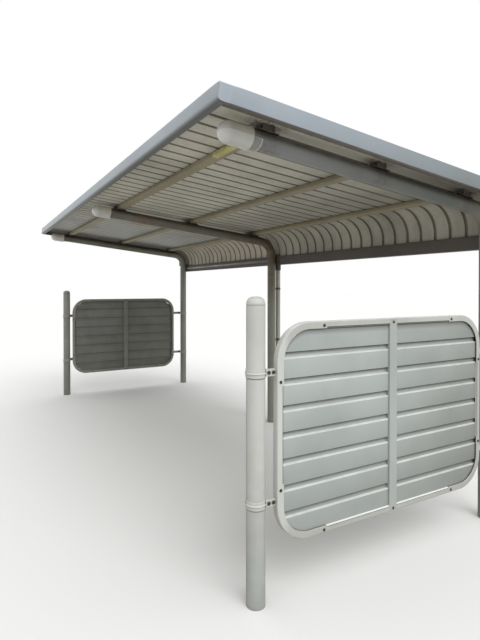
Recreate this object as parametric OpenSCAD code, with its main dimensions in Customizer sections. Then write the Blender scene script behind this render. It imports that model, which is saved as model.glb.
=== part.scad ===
// Two-bay cantilever bike shelter with a panel at each end.
// Millimetres, Z up. The origin is on the ground, under the middle of the roof.
// The open front faces -Y, and the gutter and the rear posts are at +Y.

/* [Bays] */
// Distance between neighbouring rear posts
bay = 2490; // [1800:10:3200]
// From an end post's axis out to the roof's side trim
side_overhang = 197; // [160:1:400]

/* [Posts and arms] */
// Outer diameter of every post and arm
tube_d = 89; // [60:1:115]
// Wall of every post and arm
tube_wall = 3.2; // [2:0.1:5]
// Radius of the bend between a post and its arm, at the tube's axis
bend_r = 160; // [130:5:250]
// Slope of the arms and of the roof, in degrees
arm_slope = 6.4; // [3:0.1:10]
// Height at which the arm's axis would meet the rear post's axis
arm_h = 1949; // [1750:1:2300]
// From the rear post's axis to the open end of an arm, along the arm
arm_reach = 1800; // [1500:5:2200]

/* [Arm end caps] */
// Outer diameter of a cap
cap_d = 110; // [102:1:130]
// Length of a cap with its dome
cap_len = 158; // [110:1:260]
// How far the tube reaches into its cap
cap_grip = 33; // [20:1:60]
// Radius that rounds the end of a cap
cap_round = 48; // [10:1:50]
// How far the middle of a cap lies below the arm's axis
cap_drop = 4; // [0:1:5]
// Length of the band round the arm behind its cap
collar_len = 50; // [30:1:80]
// Thickness of that band
collar_wall = 2.5; // [1.5:0.5:5]
// Height of the ends of that band from the arm's axis, negative under it
collar_top = -5; // [-20:1:36]

/* [Purlins] */
// From the rear post's axis to the rear purlin, along the slope
purlin_first = 240; // [205:1:300]
// Width of a purlin
purlin_w = 60; // [40:1:80]
// Height of a purlin
purlin_h = 33; // [30:1:60]
// Wall of a purlin
purlin_wall = 2.3; // [1.6:0.1:4]
// How far the purlins run past the axis of an end post
purlin_past = 30; // [24:1:100]
// Gap between the two purlins that meet over the middle arm
purlin_gap = 4; // [1:1:10]
// Gap between the rim of an arm's cap and the front purlin's front bracket
bracket_gap = 25; // [5:1:120]
// Length of the leg of a purlin bracket along the arm
bracket_foot = 30; // [20:1:30]
// Width of a purlin bracket
bracket_w = 56; // [40:1:90]
// Height of a purlin bracket
bracket_h = 28; // [15:1:30]
// Thickness of a purlin bracket
bracket_t = 4; // [3:0.5:6]

/* [Roof] */
// From the tips of the arm caps to the front of the roof, along the slope
cap_front_gap = 105; // [50:1:300]
// Distance between neighbouring roof ribs
rib_pitch = 124.5; // [90:0.5:200]
// Width of the open channel under a rib
rib_slot = 18; // [6:1:24]
// Height of a rib above the underside of the sheet
rib_h = 14; // [8:1:20]
// Thickness of the roof sheet
sheet_t = 2; // [1:0.5:3]
// Radius of the underside where the sheet turns down at the rear
roof_bend_r = 188; // [150:1:250]
// From the rear post's axis back to the upright part of the sheet
sheet_back = 63; // [56:1:100]

/* [Roof trims] */
// Height of the trims along the front and the sides
trim_h = 78; // [70:1:100]
// How far a trim hangs below the underside of the roof sheet
trim_drop = 49; // [35:1:60]
// Thickness of the side trims
side_trim_t = 3; // [2:0.5:5]
// Width of the lips of a side trim
side_lip = 22; // [12:1:35]
// Depth of the underside of the front trim
front_trim_w = 40; // [32:1:60]
// Radius that rounds the lower front edge of the front trim
front_trim_round = 20; // [6:1:25]
// Thickness of the front trim
front_trim_t = 2.5; // [1.5:0.5:4]
// Depth of the lip along the top of the front trim
front_lip = 9; // [5:1:20]
// Gap between that lip and the front edge of the roof sheet
sheet_setback = 2; // [1:1:10]
// Width of the roof's corner caps, seen from the front
corner_w = 24; // [20:1:40]
// Length of those caps along the side of the roof
corner_len = 55; // [45:1:90]
// Radius that rounds the upright edge of a corner cap
corner_round = 14; // [5:1:18]

/* [Gutter] */
// Depth of the gutter from front to back
gutter_w = 75; // [60:1:110]
// Height of the gutter
gutter_h = 92; // [70:1:120]
// Wall of the gutter
gutter_wall = 2; // [1:0.5:4]
// From the height where the arms meet the rear posts down to the top of the gutter
gutter_drop = 141; // [130:1:220]
// How far the roof sheet reaches down into the gutter
sheet_dip = 22; // [10:1:60]
// Thickness of the plates between the gutter and the posts
gutter_plate_t = 3.5; // [3:0.5:10]
// Width of the plates between the gutter and the posts
gutter_plate_w = 150; // [100:5:200]
// Height of the plates between the gutter and the posts
gutter_plate_h = 110; // [80:5:150]
// Outer diameter of the downpipe
pipe_d = 48; // [40:1:60]
// Wall of the downpipe
pipe_wall = 3; // [2:0.5:4]
// Height of the open lower end of the downpipe
pipe_low = 60; // [20:5:300]
// Diameter of the outlet socket
outlet_d = 60; // [54:1:70]
// Height of the outlet socket
outlet_h = 60; // [40:1:90]
// Height of the lower pipe clip
clip_low = 898; // [400:1:1100]
// From the lower end of the outlet down to the upper pipe clip
clip_drop = 201; // [20:1:240]
// Height of a pipe clip
clip_h = 22; // [15:1:40]
// Thickness of a pipe clip
clip_t = 2.5; // [2:0.5:4]

/* [End panels] */
// From the rear post's axis to the axis of the panel's front post
panel_stance = 1718; // [1400:1:2000]
// Height of the front posts without their caps
front_post_h = 1385; // [1100:5:1600]
// Height of the domed cap on a front post
post_cap_h = 40; // [35:1:60]
// Radius that rounds the top of that cap
post_cap_round = 34; // [10:1:34]
// Height of the lower edge of a panel
panel_low = 268; // [150:1:400]
// Height of a panel
panel_h = 1035; // [800:5:1200]
// Width of a panel
panel_w = 1488; // [1200:1:1550]
// Gap between a panel and its front post
panel_front_gap = 38; // [25:1:60]
// Depth of a panel frame
panel_depth = 40; // [30:1:60]
// From the axis of the posts to the middle of a panel, sideways
panel_side = 38; // [36:1:44]
// Outer radius of the corners of a panel frame
panel_round = 185; // [100:5:300]
// Width of the face of a panel frame
frame_face = 35; // [25:1:50]
// Sheet thickness of a panel frame
frame_t = 2.5; // [2:0.5:4]
// Width of the upright bar in the middle of a panel
mullion_w = 54; // [40:1:80]
// Number of boards in a panel
board_count = 8; // [5:1:12]
// From the lower edge of a panel up to its second board
board_foot = 153; // [110:1:200]
// From the top of a panel down to the lower edge of its top board
board_head = 138; // [110:1:200]
// Depth of the hollows between boards
board_step = 11; // [6:1:14]
// Height of the hollow under each board's lower edge
board_gap = 25; // [10:1:40]
// Height of the slope from that hollow out to the face of the board below
board_ramp = 6; // [3:1:12]
// Thickness of the board sheet
board_t = 3; // [2:0.5:6]
// From the frame's face back to the face of the boards
board_inset = 9; // [5:1:14]

/* [Panel clamps] */
// Heights of the clamps
clamp_heights = [473, 1073];
// Height of a clamp band
clamp_h = 38; // [30:1:60]
// Thickness of a clamp band
clamp_t = 3; // [2:0.5:5]
// Height of the raised bead round the middle of a clamp band
clamp_bead_h = 9; // [6:1:16]
// How far the bead stands out
clamp_bead_t = 3.5; // [1:0.5:5]
// Height of the lug between a clamp and the panel
lug_h = 34; // [25:1:40]
// How far the middle of that lug lies above the middle of its clamp band
lug_rise = 4; // [0:1:6]
// Thickness of that lug
lug_t = 8; // [6:1:12]

/* [Hidden] */
$fn = 96;
eps = 0.5;
tube_r = tube_d / 2;
cap_fit = 0.3;
band_fit = 0.1;
weld_gap = 0.02;
backing_len = 30;
backing_t = 1;
paint = [0.62, 0.60, 0.54];
paint_roof = [0.60, 0.58, 0.53];
paint_panel = [0.66, 0.66, 0.61];
paint_dark = [0.42, 0.39, 0.35];
paint_trim = [0.62, 0.65, 0.67];
plastic = [0.84, 0.85, 0.81];

// Roof line: its underside lies one purlin above the arms
roof_lift = tube_r + purlin_h;
roof_edge = bay + side_overhang;
roof_reach = arm_reach - cap_grip + cap_len + cap_front_gap;
trim_top = trim_h - trim_drop;
front_low = roof_lift - trim_drop;

// Gutter, measured back from the rear post's axis
gutter_top = arm_h - gutter_drop;
gutter_front = tube_r + gutter_plate_t;
gutter_low = gutter_top - gutter_h;
gutter_back = gutter_front + gutter_w;
outlet_low = gutter_low - outlet_h;
clip_heights = [clip_low, outlet_low - clip_drop];
gutter_mid = gutter_front + gutter_w / 2;

// Farthest points to the front and to the rear of the rear post's axis
round_mid = front_low + front_trim_round;
round_s = roof_reach - front_trim_round;
front_reach = front_trim_round + round_s * cos(arm_slope) - round_mid * sin(arm_slope);
rear_reach = gutter_back + band_fit + gutter_wall;

// The shelter is centred on the origin from front to back
post_y = (front_reach - rear_reach) / 2;

// Centre of the roof sheet's bend, from the rear post's axis
turn_y = sheet_back - roof_bend_r;
turn_z = arm_h + (roof_lift - roof_bend_r - turn_y * sin(arm_slope)) / cos(arm_slope);
turn_s = turn_y * cos(arm_slope) - (turn_z - arm_h) * sin(arm_slope);

// Length of the straight arm and post up to their bend
bend_leg = bend_r * tan((90 - arm_slope) / 2);
purlin_last = arm_reach - cap_grip - bracket_gap - bracket_foot - purlin_w / 2;
purlin_spots = [-purlin_first, -(purlin_first + purlin_last) / 2, -purlin_last];
rib_spots = [for (x = [rib_pitch / 2 : rib_pitch : roof_edge - side_lip - rib_slot]) x];

// End panels, measured from the rear post's axis
front_post_y = -panel_stance;
panel_front = front_post_y + tube_r + panel_front_gap;
panel_back = panel_front + panel_w;
panel_middle = (panel_front + panel_back) / 2;
board_pitch = (panel_h - board_foot - board_head) / (board_count - 2);
board_edges = [for (i = [0 : board_count - 2]) panel_low + board_foot + i * board_pitch];

// Puts children in a frame that lies on the arm's axis: -Y up the slope, Z square to it
module on_slope() {
    translate([0, post_y, arm_h]) rotate([-arm_slope, 0, 0]) children();
}

// Runs a shape drawn in Y and Z along X for a length
module along_x(length) {
    rotate([90, 0, 90]) linear_extrude(length) children();
}

// Area under a line that follows the roof from the front, round the bend and down
module roof_area(rise, front_s, end_z, grow) {
    r = roof_bend_r + rise;
    translate([0, arm_h]) rotate(-arm_slope) translate([front_s - grow, roof_lift - roof_bend_r - grow])
        square([turn_s - front_s + grow + eps, r + grow]);
    intersection() {
        translate([turn_y, turn_z]) circle(r);
        translate([turn_y - grow, turn_z - grow]) square(2 * r);
    }
    translate([turn_y - grow, end_z - grow]) square([r + grow, turn_z - end_z + grow + eps]);
}

// Strip between two such lines
module roof_strip(low, high, front_s, end_z) {
    difference() {
        roof_area(high, front_s, end_z, 0);
        roof_area(low, front_s, end_z, eps);
    }
}

// One rear post and its arm in one bent tube, at a place along X
module post_and_arm(x) {
    color(paint) translate([x, post_y - bend_r, arm_h - bend_leg]) rotate([90, 0, 90]) {
        translate([bend_r, -weld_gap, 0]) rotate([90, 0, 0]) tube(arm_h - bend_leg - weld_gap);
        rotate_extrude(angle = 90 - arm_slope) translate([bend_r, 0]) difference() {
            circle(tube_r);
            circle(tube_r - tube_wall);
        }
        rotate([0, 0, 90 - arm_slope]) translate([bend_r, weld_gap, 0]) rotate([-90, 0, 0])
            tube(arm_reach - bend_leg - weld_gap);
        for (turn = [0, 90 - arm_slope]) rotate([0, 0, turn]) translate([bend_r, 0, 0]) backing_ring();
    }
}

// Ring inside the tube, behind the weld at an end of its bend
module backing_ring() {
    rotate([90, 0, 0]) difference() {
        cylinder(h = backing_len, r = tube_r - tube_wall / 2, center = true);
        cylinder(h = backing_len + 2 * eps, r = tube_r - tube_wall - backing_t, center = true);
    }
}

// Tube of the posts' size
module tube(length) {
    difference() {
        cylinder(h = length, r = tube_r);
        translate([0, 0, -eps]) cylinder(h = length + 2 * eps, r = tube_r - tube_wall);
    }
}

// Round cap with a rounded end
module round_cap(r, length, round_r) {
    rotate_extrude() {
        square([r, length - round_r]);
        square([r - round_r, length]);
        intersection() {
            translate([r - round_r, length - round_r]) circle(round_r);
            square([r, length]);
        }
    }
}

// Domed plastic cap on the open end of an arm
module arm_cap(x) {
    color(plastic) translate([x, 0, 0]) on_slope() translate([0, cap_grip - arm_reach, 0])
        rotate([90, 0, 0]) difference() {
            translate([0, -cap_drop, 0]) round_cap(cap_d / 2, cap_len, cap_round);
            translate([0, 0, -eps]) cylinder(h = cap_grip + eps, r = tube_r + cap_fit);
        }
}

// Strap under each arm, right behind its cap, open at the top
module arm_collars() {
    outer_r = tube_r + collar_wall;
    color(paint) for (x = [-bay, 0, bay]) translate([x, 0, 0]) on_slope()
        translate([0, cap_grip - arm_reach + collar_len, 0]) rotate([90, 0, 0]) difference() {
            cylinder(h = collar_len, r = outer_r);
            translate([0, 0, -eps]) cylinder(h = collar_len + 2 * eps, r = tube_r + band_fit);
            translate([-outer_r - eps, collar_top, -eps])
                cube([2 * (outer_r + eps), 2 * outer_r, collar_len + 2 * eps]);
        }
}

// Box-section purlin of one bay, from the middle arm to just past an end arm
module purlin(side, s) {
    length = bay + purlin_past - purlin_gap / 2;
    start = side > 0 ? purlin_gap / 2 : -purlin_gap / 2 - length;
    color(paint) on_slope() translate([start, s, tube_r]) along_x(length) difference() {
        translate([-purlin_w / 2, 0]) square([purlin_w, purlin_h]);
        translate([purlin_wall - purlin_w / 2, purlin_wall])
            square([purlin_w - 2 * purlin_wall, purlin_h - 2 * purlin_wall]);
    }
}

// Angle brackets in front of and behind the purlins on one arm
module purlin_brackets(x) {
    color(paint_dark) translate([x, 0, 0]) on_slope() for (s = purlin_spots)
        translate([-bracket_w / 2, s, tube_r]) for (turn = [0, 1]) mirror([0, turn, 0])
            translate([0, purlin_w / 2, 0]) {
                cube([bracket_w, bracket_t, bracket_h]);
                cube([bracket_w, bracket_foot, bracket_t]);
            }
}

// Roof sheet over one bay with its upstanding ribs, which are open channels underneath
module roof_sheet(side) {
    width = roof_edge - side_trim_t;
    front_s = front_lip + sheet_setback - roof_reach;
    end_z = gutter_top - sheet_dip;
    color(paint_roof) translate([side > 0 ? 0 : -width, post_y, 0]) difference() {
        union() {
            along_x(width) roof_strip(0, sheet_t, front_s, end_z);
            for (x = rib_spots)
                translate([(side > 0 ? x : width - x) - rib_slot / 2 - sheet_t, 0, 0])
                    along_x(rib_slot + 2 * sheet_t) roof_strip(0, rib_h, front_s, end_z);
        }
        for (x = rib_spots)
            translate([(side > 0 ? x : width - x) - rib_slot / 2, 0, 0])
                along_x(rib_slot) roof_strip(-eps, rib_h - sheet_t, front_s - eps, end_z - eps);
    }
}

// Outline of the front trim in the slope's frame, shrunk inwards by a wall
module front_trim_outline(inset, depth) {
    translate([-round_s, round_mid]) circle(front_trim_round - inset);
    translate([inset - roof_reach, round_mid])
        square([depth - inset, trim_h - front_trim_round - inset]);
    translate([-round_s, front_low + inset]) square([depth - front_trim_round, trim_h - 2 * inset]);
}

// Channel with a rounded lower edge along the front of one bay's roof, with a seat under the sheet
module front_trim(side) {
    length = roof_edge - corner_w;
    start = side > 0 ? 0 : -length;
    color(paint_trim) on_slope() translate([start, 0, 0]) along_x(length) {
        difference() {
            front_trim_outline(0, front_trim_w);
            front_trim_outline(front_trim_t, front_trim_w + eps);
            translate([front_lip - roof_reach, roof_lift]) square([front_trim_w, trim_top + eps]);
        }
        translate([-roof_reach, roof_lift - front_trim_t]) square([front_trim_w, front_trim_t]);
    }
}

// Block of a front corner with its upright edge rounded, shrunk inwards by a wall
module corner_block(side, inset, depth) {
    r = corner_round - inset;
    end = roof_edge - inset;
    low = front_low + inset;
    high = trim_h - 2 * inset;
    intersection() {
        translate([side > 0 ? end - corner_w : -end, 0, 0])
            along_x(corner_w) front_trim_outline(inset, depth);
        union() {
            translate([side > 0 ? end - corner_w : corner_round - roof_edge, inset - roof_reach, low])
                cube([corner_w + inset - corner_round, depth, high]);
            translate([side > 0 ? end - corner_w : -end, corner_round - roof_reach, low])
                cube([corner_w, depth, high]);
            translate([side * (roof_edge - corner_round), corner_round - roof_reach, low])
                cylinder(h = high, r = r);
        }
    }
}

// Rounded caps on the roof's two front corners, open inwards
module roof_corner_caps() {
    color(paint_trim) for (side = [-1, 1]) on_slope() difference() {
        corner_block(side, 0, corner_len);
        corner_block(side, front_trim_t, corner_len + eps);
    }
}

// Side trim of the roof: a plate with a lip at each edge and a seat under the sheet
module side_trim(side) {
    front_s = corner_len - roof_reach;
    color(paint_trim) translate([0, post_y, 0]) {
        translate([side > 0 ? roof_edge - side_trim_t : -roof_edge, 0, 0])
            along_x(side_trim_t) roof_strip(-trim_drop, trim_top, front_s, gutter_top);
        for (low = [-trim_drop, -side_trim_t, trim_top - side_trim_t])
            translate([side > 0 ? roof_edge - side_lip : side_trim_t - roof_edge, 0, 0])
                along_x(side_lip - side_trim_t) roof_strip(low, low + side_trim_t, front_s, gutter_top);
    }
}

// Open trough of the gutter with a lip that reaches back to the roof sheet
module gutter_profile() {
    difference() {
        translate([gutter_front, gutter_low]) square([gutter_w, gutter_h]);
        translate([gutter_front + gutter_wall, gutter_low + gutter_wall])
            square([gutter_w - 2 * gutter_wall, gutter_h]);
    }
    translate([gutter_front, gutter_top - gutter_wall]) square([sheet_back - gutter_front, gutter_wall]);
}

// Gutter of one bay
module gutter(side) {
    length = roof_edge - side_trim_t;
    color(paint_dark) translate([side > 0 ? 0 : -length, post_y, 0]) difference() {
        along_x(length) gutter_profile();
        translate([side > 0 ? 0 : length, gutter_mid, gutter_low - eps])
            cylinder(h = gutter_wall + 2 * eps, r = pipe_d / 2 - pipe_wall);
    }
}

// Cover plate behind the joint of the two gutters
module gutter_joiner() {
    color(paint_dark) translate([-gutter_plate_w / 2, post_y + gutter_back + band_fit, gutter_low])
        cube([gutter_plate_w, gutter_wall, gutter_h]);
}

// Plates that close the two ends of the gutter
module gutter_end_caps() {
    color(paint_dark) for (side = [-1, 1])
        translate([side > 0 ? roof_edge - side_trim_t : -roof_edge, post_y + gutter_front, gutter_low])
            cube([side_trim_t, gutter_w, gutter_h]);
}

// Plates between the rear posts and the gutter
module gutter_plates() {
    color(paint_dark) for (x = [-bay, 0, bay])
        translate([x - gutter_plate_w / 2, post_y + tube_r, gutter_low])
            cube([gutter_plate_w, gutter_plate_t, gutter_plate_h]);
}

// Socket under the gutter that takes the downpipe
module gutter_outlet() {
    color(paint_dark) translate([0, post_y + gutter_mid, outlet_low]) difference() {
        cylinder(h = outlet_h, r = outlet_d / 2);
        translate([0, 0, -eps]) cylinder(h = outlet_h + 2 * eps, r = pipe_d / 2);
    }
}

// Downpipe behind the middle post
module downpipe() {
    color(paint) translate([0, post_y + gutter_mid, pipe_low]) difference() {
        cylinder(h = gutter_low - pipe_low, r = pipe_d / 2);
        translate([0, 0, -eps]) cylinder(h = gutter_low - pipe_low + 2 * eps, r = pipe_d / 2 - pipe_wall);
    }
}

// Clips that hold the downpipe to the middle post
module pipe_clips() {
    color(paint_dark) for (z = clip_heights) translate([0, post_y, z - clip_h / 2]) difference() {
        union() {
            translate([0, gutter_mid, 0]) cylinder(h = clip_h, r = pipe_d / 2 + clip_t);
            translate([-clip_h / 2, 0, 0]) cube([clip_h, gutter_mid, clip_h]);
        }
        translate([0, gutter_mid, -eps]) cylinder(h = clip_h + 2 * eps, r = pipe_d / 2 + band_fit);
        translate([0, 0, -eps]) cylinder(h = clip_h + 2 * eps, r = tube_r + band_fit);
    }
}

// Short post at the front of an end panel
module front_post(x) {
    color(paint) translate([x, post_y + front_post_y, 0]) tube(front_post_h);
}

// Domed cap on a front post
module front_post_cap(x) {
    color(paint) translate([x, post_y + front_post_y, front_post_h])
        round_cap(tube_r, post_cap_h, post_cap_round);
}

// Rectangle with round corners, seen from the side, around the panel's middle
module panel_outline(inset) {
    r = panel_round - inset;
    for (y = [panel_front + panel_round, panel_back - panel_round])
        for (z = [panel_low + panel_round, panel_low + panel_h - panel_round])
            translate([y, z]) circle(r);
    translate([panel_front + inset, panel_low + panel_round])
        square([panel_w - 2 * inset, panel_h - 2 * panel_round]);
    translate([panel_front + panel_round, panel_low + inset])
        square([panel_w - 2 * panel_round, panel_h - 2 * inset]);
}

// Places a shape by its distance in from the outer face of an end panel
module from_panel_face(side, depth, thick) {
    face = bay + panel_side + panel_depth / 2;
    translate([side > 0 ? face - depth - thick : depth - face, post_y, 0]) along_x(thick) children();
}

// Rounded frame of an end panel, a channel that is open inwards
module panel_frame(side) {
    color(paint_panel) {
        for (depth = [0, panel_depth - frame_t]) from_panel_face(side, depth, frame_t) difference() {
            panel_outline(0);
            panel_outline(frame_face);
        }
        from_panel_face(side, frame_t, panel_depth - 2 * frame_t) difference() {
            panel_outline(0);
            panel_outline(frame_t);
        }
    }
}

// Upright bar in the middle of an end panel
module panel_mullion(side) {
    depth = panel_depth - 2 * frame_t;
    face = bay + panel_side + depth / 2;
    start_y = post_y + panel_middle - mullion_w / 2;
    start_x = side > 0 ? face - depth : -face;
    color(paint_panel) translate([start_x, start_y, panel_low + frame_t]) difference() {
        cube([depth, mullion_w, panel_h - 2 * frame_t]);
        translate([frame_t, frame_t, -eps]) cube([depth - 2 * frame_t, mullion_w - 2 * frame_t, panel_h]);
    }
}

// Stepped board sheet of an end panel, in one half before and one behind the upright bar
module panel_boards(side) {
    halves = [[panel_front, panel_middle - mullion_w / 2], [panel_middle + mullion_w / 2, panel_back]];
    face = bay + panel_side + panel_depth / 2 - board_inset;
    back = face - board_t;
    low = panel_low + frame_t;
    high = panel_low + panel_h - frame_t;
    color(paint_panel) for (half = halves) intersection() {
        translate([0, post_y + half[0], 0]) rotate([90, 0, 0]) mirror([0, 0, 1])
            linear_extrude(half[1] - half[0]) scale([side, 1]) polygon(concat(
                [[face, low]],
                [for (z = board_edges) each board_joint(face, z, 0)],
                [[face, high], [back, high]],
                [for (i = [board_count - 2 : -1 : 0]) each reversed(board_joint(back, board_edges[i], board_t))],
                [[back, low]]
            ));
        from_panel_face(side, 0, panel_depth) panel_outline(frame_t);
    }
}

// Outline of the joint under the board that starts at height z, from the board below upwards
function board_joint(face, z, wall) = [
    [face, z - board_gap - board_ramp - wall],
    [face - board_step, z - board_gap - wall],
    [face - board_step, z + wall],
    [face, z + wall],
];

// The same points in the opposite order
function reversed(points) = [for (i = [len(points) - 1 : -1 : 0]) points[i]];

// Clamp bands round the posts of an end panel, each with a lug to the panel
module panel_clamps(side) {
    color(paint_panel) for (z = clamp_heights) {
        panel_clamp(side, z, front_post_y, panel_front);
        panel_clamp(side, z, 0, panel_back);
    }
}

// One clamp band round a post, with its lug up to an edge of the panel
module panel_clamp(side, z, post, edge) {
    lug_x = side * (bay + panel_side) - lug_t / 2;
    translate([side * bay, post_y + post, z]) difference() {
        union() {
            translate([0, 0, -clamp_h / 2]) cylinder(h = clamp_h, r = tube_r + clamp_t);
            translate([0, 0, -clamp_bead_h / 2])
                cylinder(h = clamp_bead_h, r = tube_r + clamp_t + clamp_bead_t);
            translate([lug_x - side * bay, min(0, edge - post), lug_rise - lug_h / 2])
                cube([lug_t, abs(edge - post), lug_h]);
        }
        translate([0, 0, -clamp_h]) cylinder(h = 2 * clamp_h, r = tube_r + band_fit);
    }
}

post_and_arm(bay);  // right_post_and_arm
post_and_arm(0);  // middle_post_and_arm
post_and_arm(-bay);  // left_post_and_arm
arm_cap(bay);  // right_arm_cap
arm_cap(0);  // middle_arm_cap
arm_cap(-bay);  // left_arm_cap
arm_collars();
purlin(1, purlin_spots[2]);  // right_front_purlin
purlin(1, purlin_spots[1]);  // right_middle_purlin
purlin(1, purlin_spots[0]);  // right_rear_purlin
purlin(-1, purlin_spots[2]);  // left_front_purlin
purlin(-1, purlin_spots[1]);  // left_middle_purlin
purlin(-1, purlin_spots[0]);  // left_rear_purlin
purlin_brackets(bay);  // right_purlin_brackets
purlin_brackets(0);  // middle_purlin_brackets
purlin_brackets(-bay);  // left_purlin_brackets
roof_sheet(1);  // right_roof_sheet
roof_sheet(-1);  // left_roof_sheet
front_trim(1);  // right_front_trim
front_trim(-1);  // left_front_trim
roof_corner_caps();
side_trim(1);  // right_side_trim
side_trim(-1);  // left_side_trim
gutter(1);  // right_gutter
gutter(-1);  // left_gutter
gutter_joiner();
gutter_end_caps();
gutter_plates();
gutter_outlet();
downpipe();
pipe_clips();
front_post(bay);  // right_front_post
front_post(-bay);  // left_front_post
front_post_cap(bay);  // right_front_post_cap
front_post_cap(-bay);  // left_front_post_cap
panel_frame(1);  // right_panel_frame
panel_frame(-1);  // left_panel_frame
panel_mullion(1);  // right_panel_mullion
panel_mullion(-1);  // left_panel_mullion
panel_boards(1);  // right_panel_boards
panel_boards(-1);  // left_panel_boards
panel_clamps(1);  // right_panel_clamps
panel_clamps(-1);  // left_panel_clamps
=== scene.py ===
import math
from functools import cached_property

import bmesh
import bpy
from bpy.props import FloatProperty, FloatVectorProperty, IntProperty, PointerProperty
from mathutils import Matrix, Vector


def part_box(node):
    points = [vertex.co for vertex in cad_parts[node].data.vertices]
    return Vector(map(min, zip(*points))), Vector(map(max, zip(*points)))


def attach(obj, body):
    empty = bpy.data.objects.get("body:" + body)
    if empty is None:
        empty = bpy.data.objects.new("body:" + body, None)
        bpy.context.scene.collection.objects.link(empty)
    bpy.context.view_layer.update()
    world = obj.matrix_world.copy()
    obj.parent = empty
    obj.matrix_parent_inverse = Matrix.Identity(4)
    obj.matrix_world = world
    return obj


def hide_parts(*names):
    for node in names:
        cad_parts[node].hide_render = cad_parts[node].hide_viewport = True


bl_info = {
    "name": "Bike shelter",
    "version": (1, 0, 0),
    "blender": (4, 5, 0),
    "location": "3D View > Sidebar > Shelter",
    "description": "Dresses the packed bike shelter with sheet metal, fastenings, finishes, light and camera",
    "category": "Object",
}

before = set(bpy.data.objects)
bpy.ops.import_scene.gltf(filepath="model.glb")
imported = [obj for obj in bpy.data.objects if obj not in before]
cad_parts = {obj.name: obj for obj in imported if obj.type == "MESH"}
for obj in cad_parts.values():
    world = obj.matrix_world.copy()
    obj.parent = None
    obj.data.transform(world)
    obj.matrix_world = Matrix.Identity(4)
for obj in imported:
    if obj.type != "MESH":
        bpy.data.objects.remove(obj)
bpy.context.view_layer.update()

# Lengths in metres, +X along the shelter, +Y towards the gutter, +Z up
SLOPE = math.radians(6.4)
TUBE_R = 0.0445
PURLIN_W = 0.060
# Places along the arms count from the rear posts' axis, and are negative in front of it
PURLIN_PITCH = 0.721
PURLIN_S = [-0.240 - row * PURLIN_PITCH for row in range(3)]
CAP_TIP = -1.925
CAP_RIM = -1.767
CLAMP_Z = (0.473, 1.073)
ALONG = Vector((0, math.cos(SLOPE), -math.sin(SLOPE)))
OFF = Vector((0, math.sin(SLOPE), math.cos(SLOPE)))
UP = Vector((0, 0, 1))


def middle_of(node):
    low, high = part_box(node)
    return (low + high) / 2


def frame_places():
    """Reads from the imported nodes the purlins' height, the bay, the y of the rear posts, the height of
    the arms' line above them, and the y of the front posts."""
    low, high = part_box("right_front_purlin")
    purlin_h = (high.z - low.z - PURLIN_W * math.sin(SLOPE)) / math.cos(SLOPE)
    bay = middle_of("right_front_post").x
    post_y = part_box("right_post_and_arm")[1].y - TUBE_R
    rise = (low + high) / 2 - Vector((0, post_y, 0)) - OFF * (TUBE_R + purlin_h / 2)
    return purlin_h, bay, post_y, rise.z + rise.y * math.tan(SLOPE), middle_of("right_front_post").y


PURLIN_H, BAY, POST_Y, ARM_H, FRONT_POST_Y = frame_places()
SIDES = {"right": 1, "left": -1}
POST_X = {"right": BAY, "middle": 0.0, "left": -BAY}


def size(name, description, default):
    return FloatProperty(name=name, description=description, default=default, min=0.0001,
                         soft_max=4 * default, precision=4, subtype="DISTANCE", unit="LENGTH")


def colour(name, description, default):
    return FloatVectorProperty(name=name, description=description, default=default, min=0, max=1, size=3,
                               subtype="COLOR")


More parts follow.
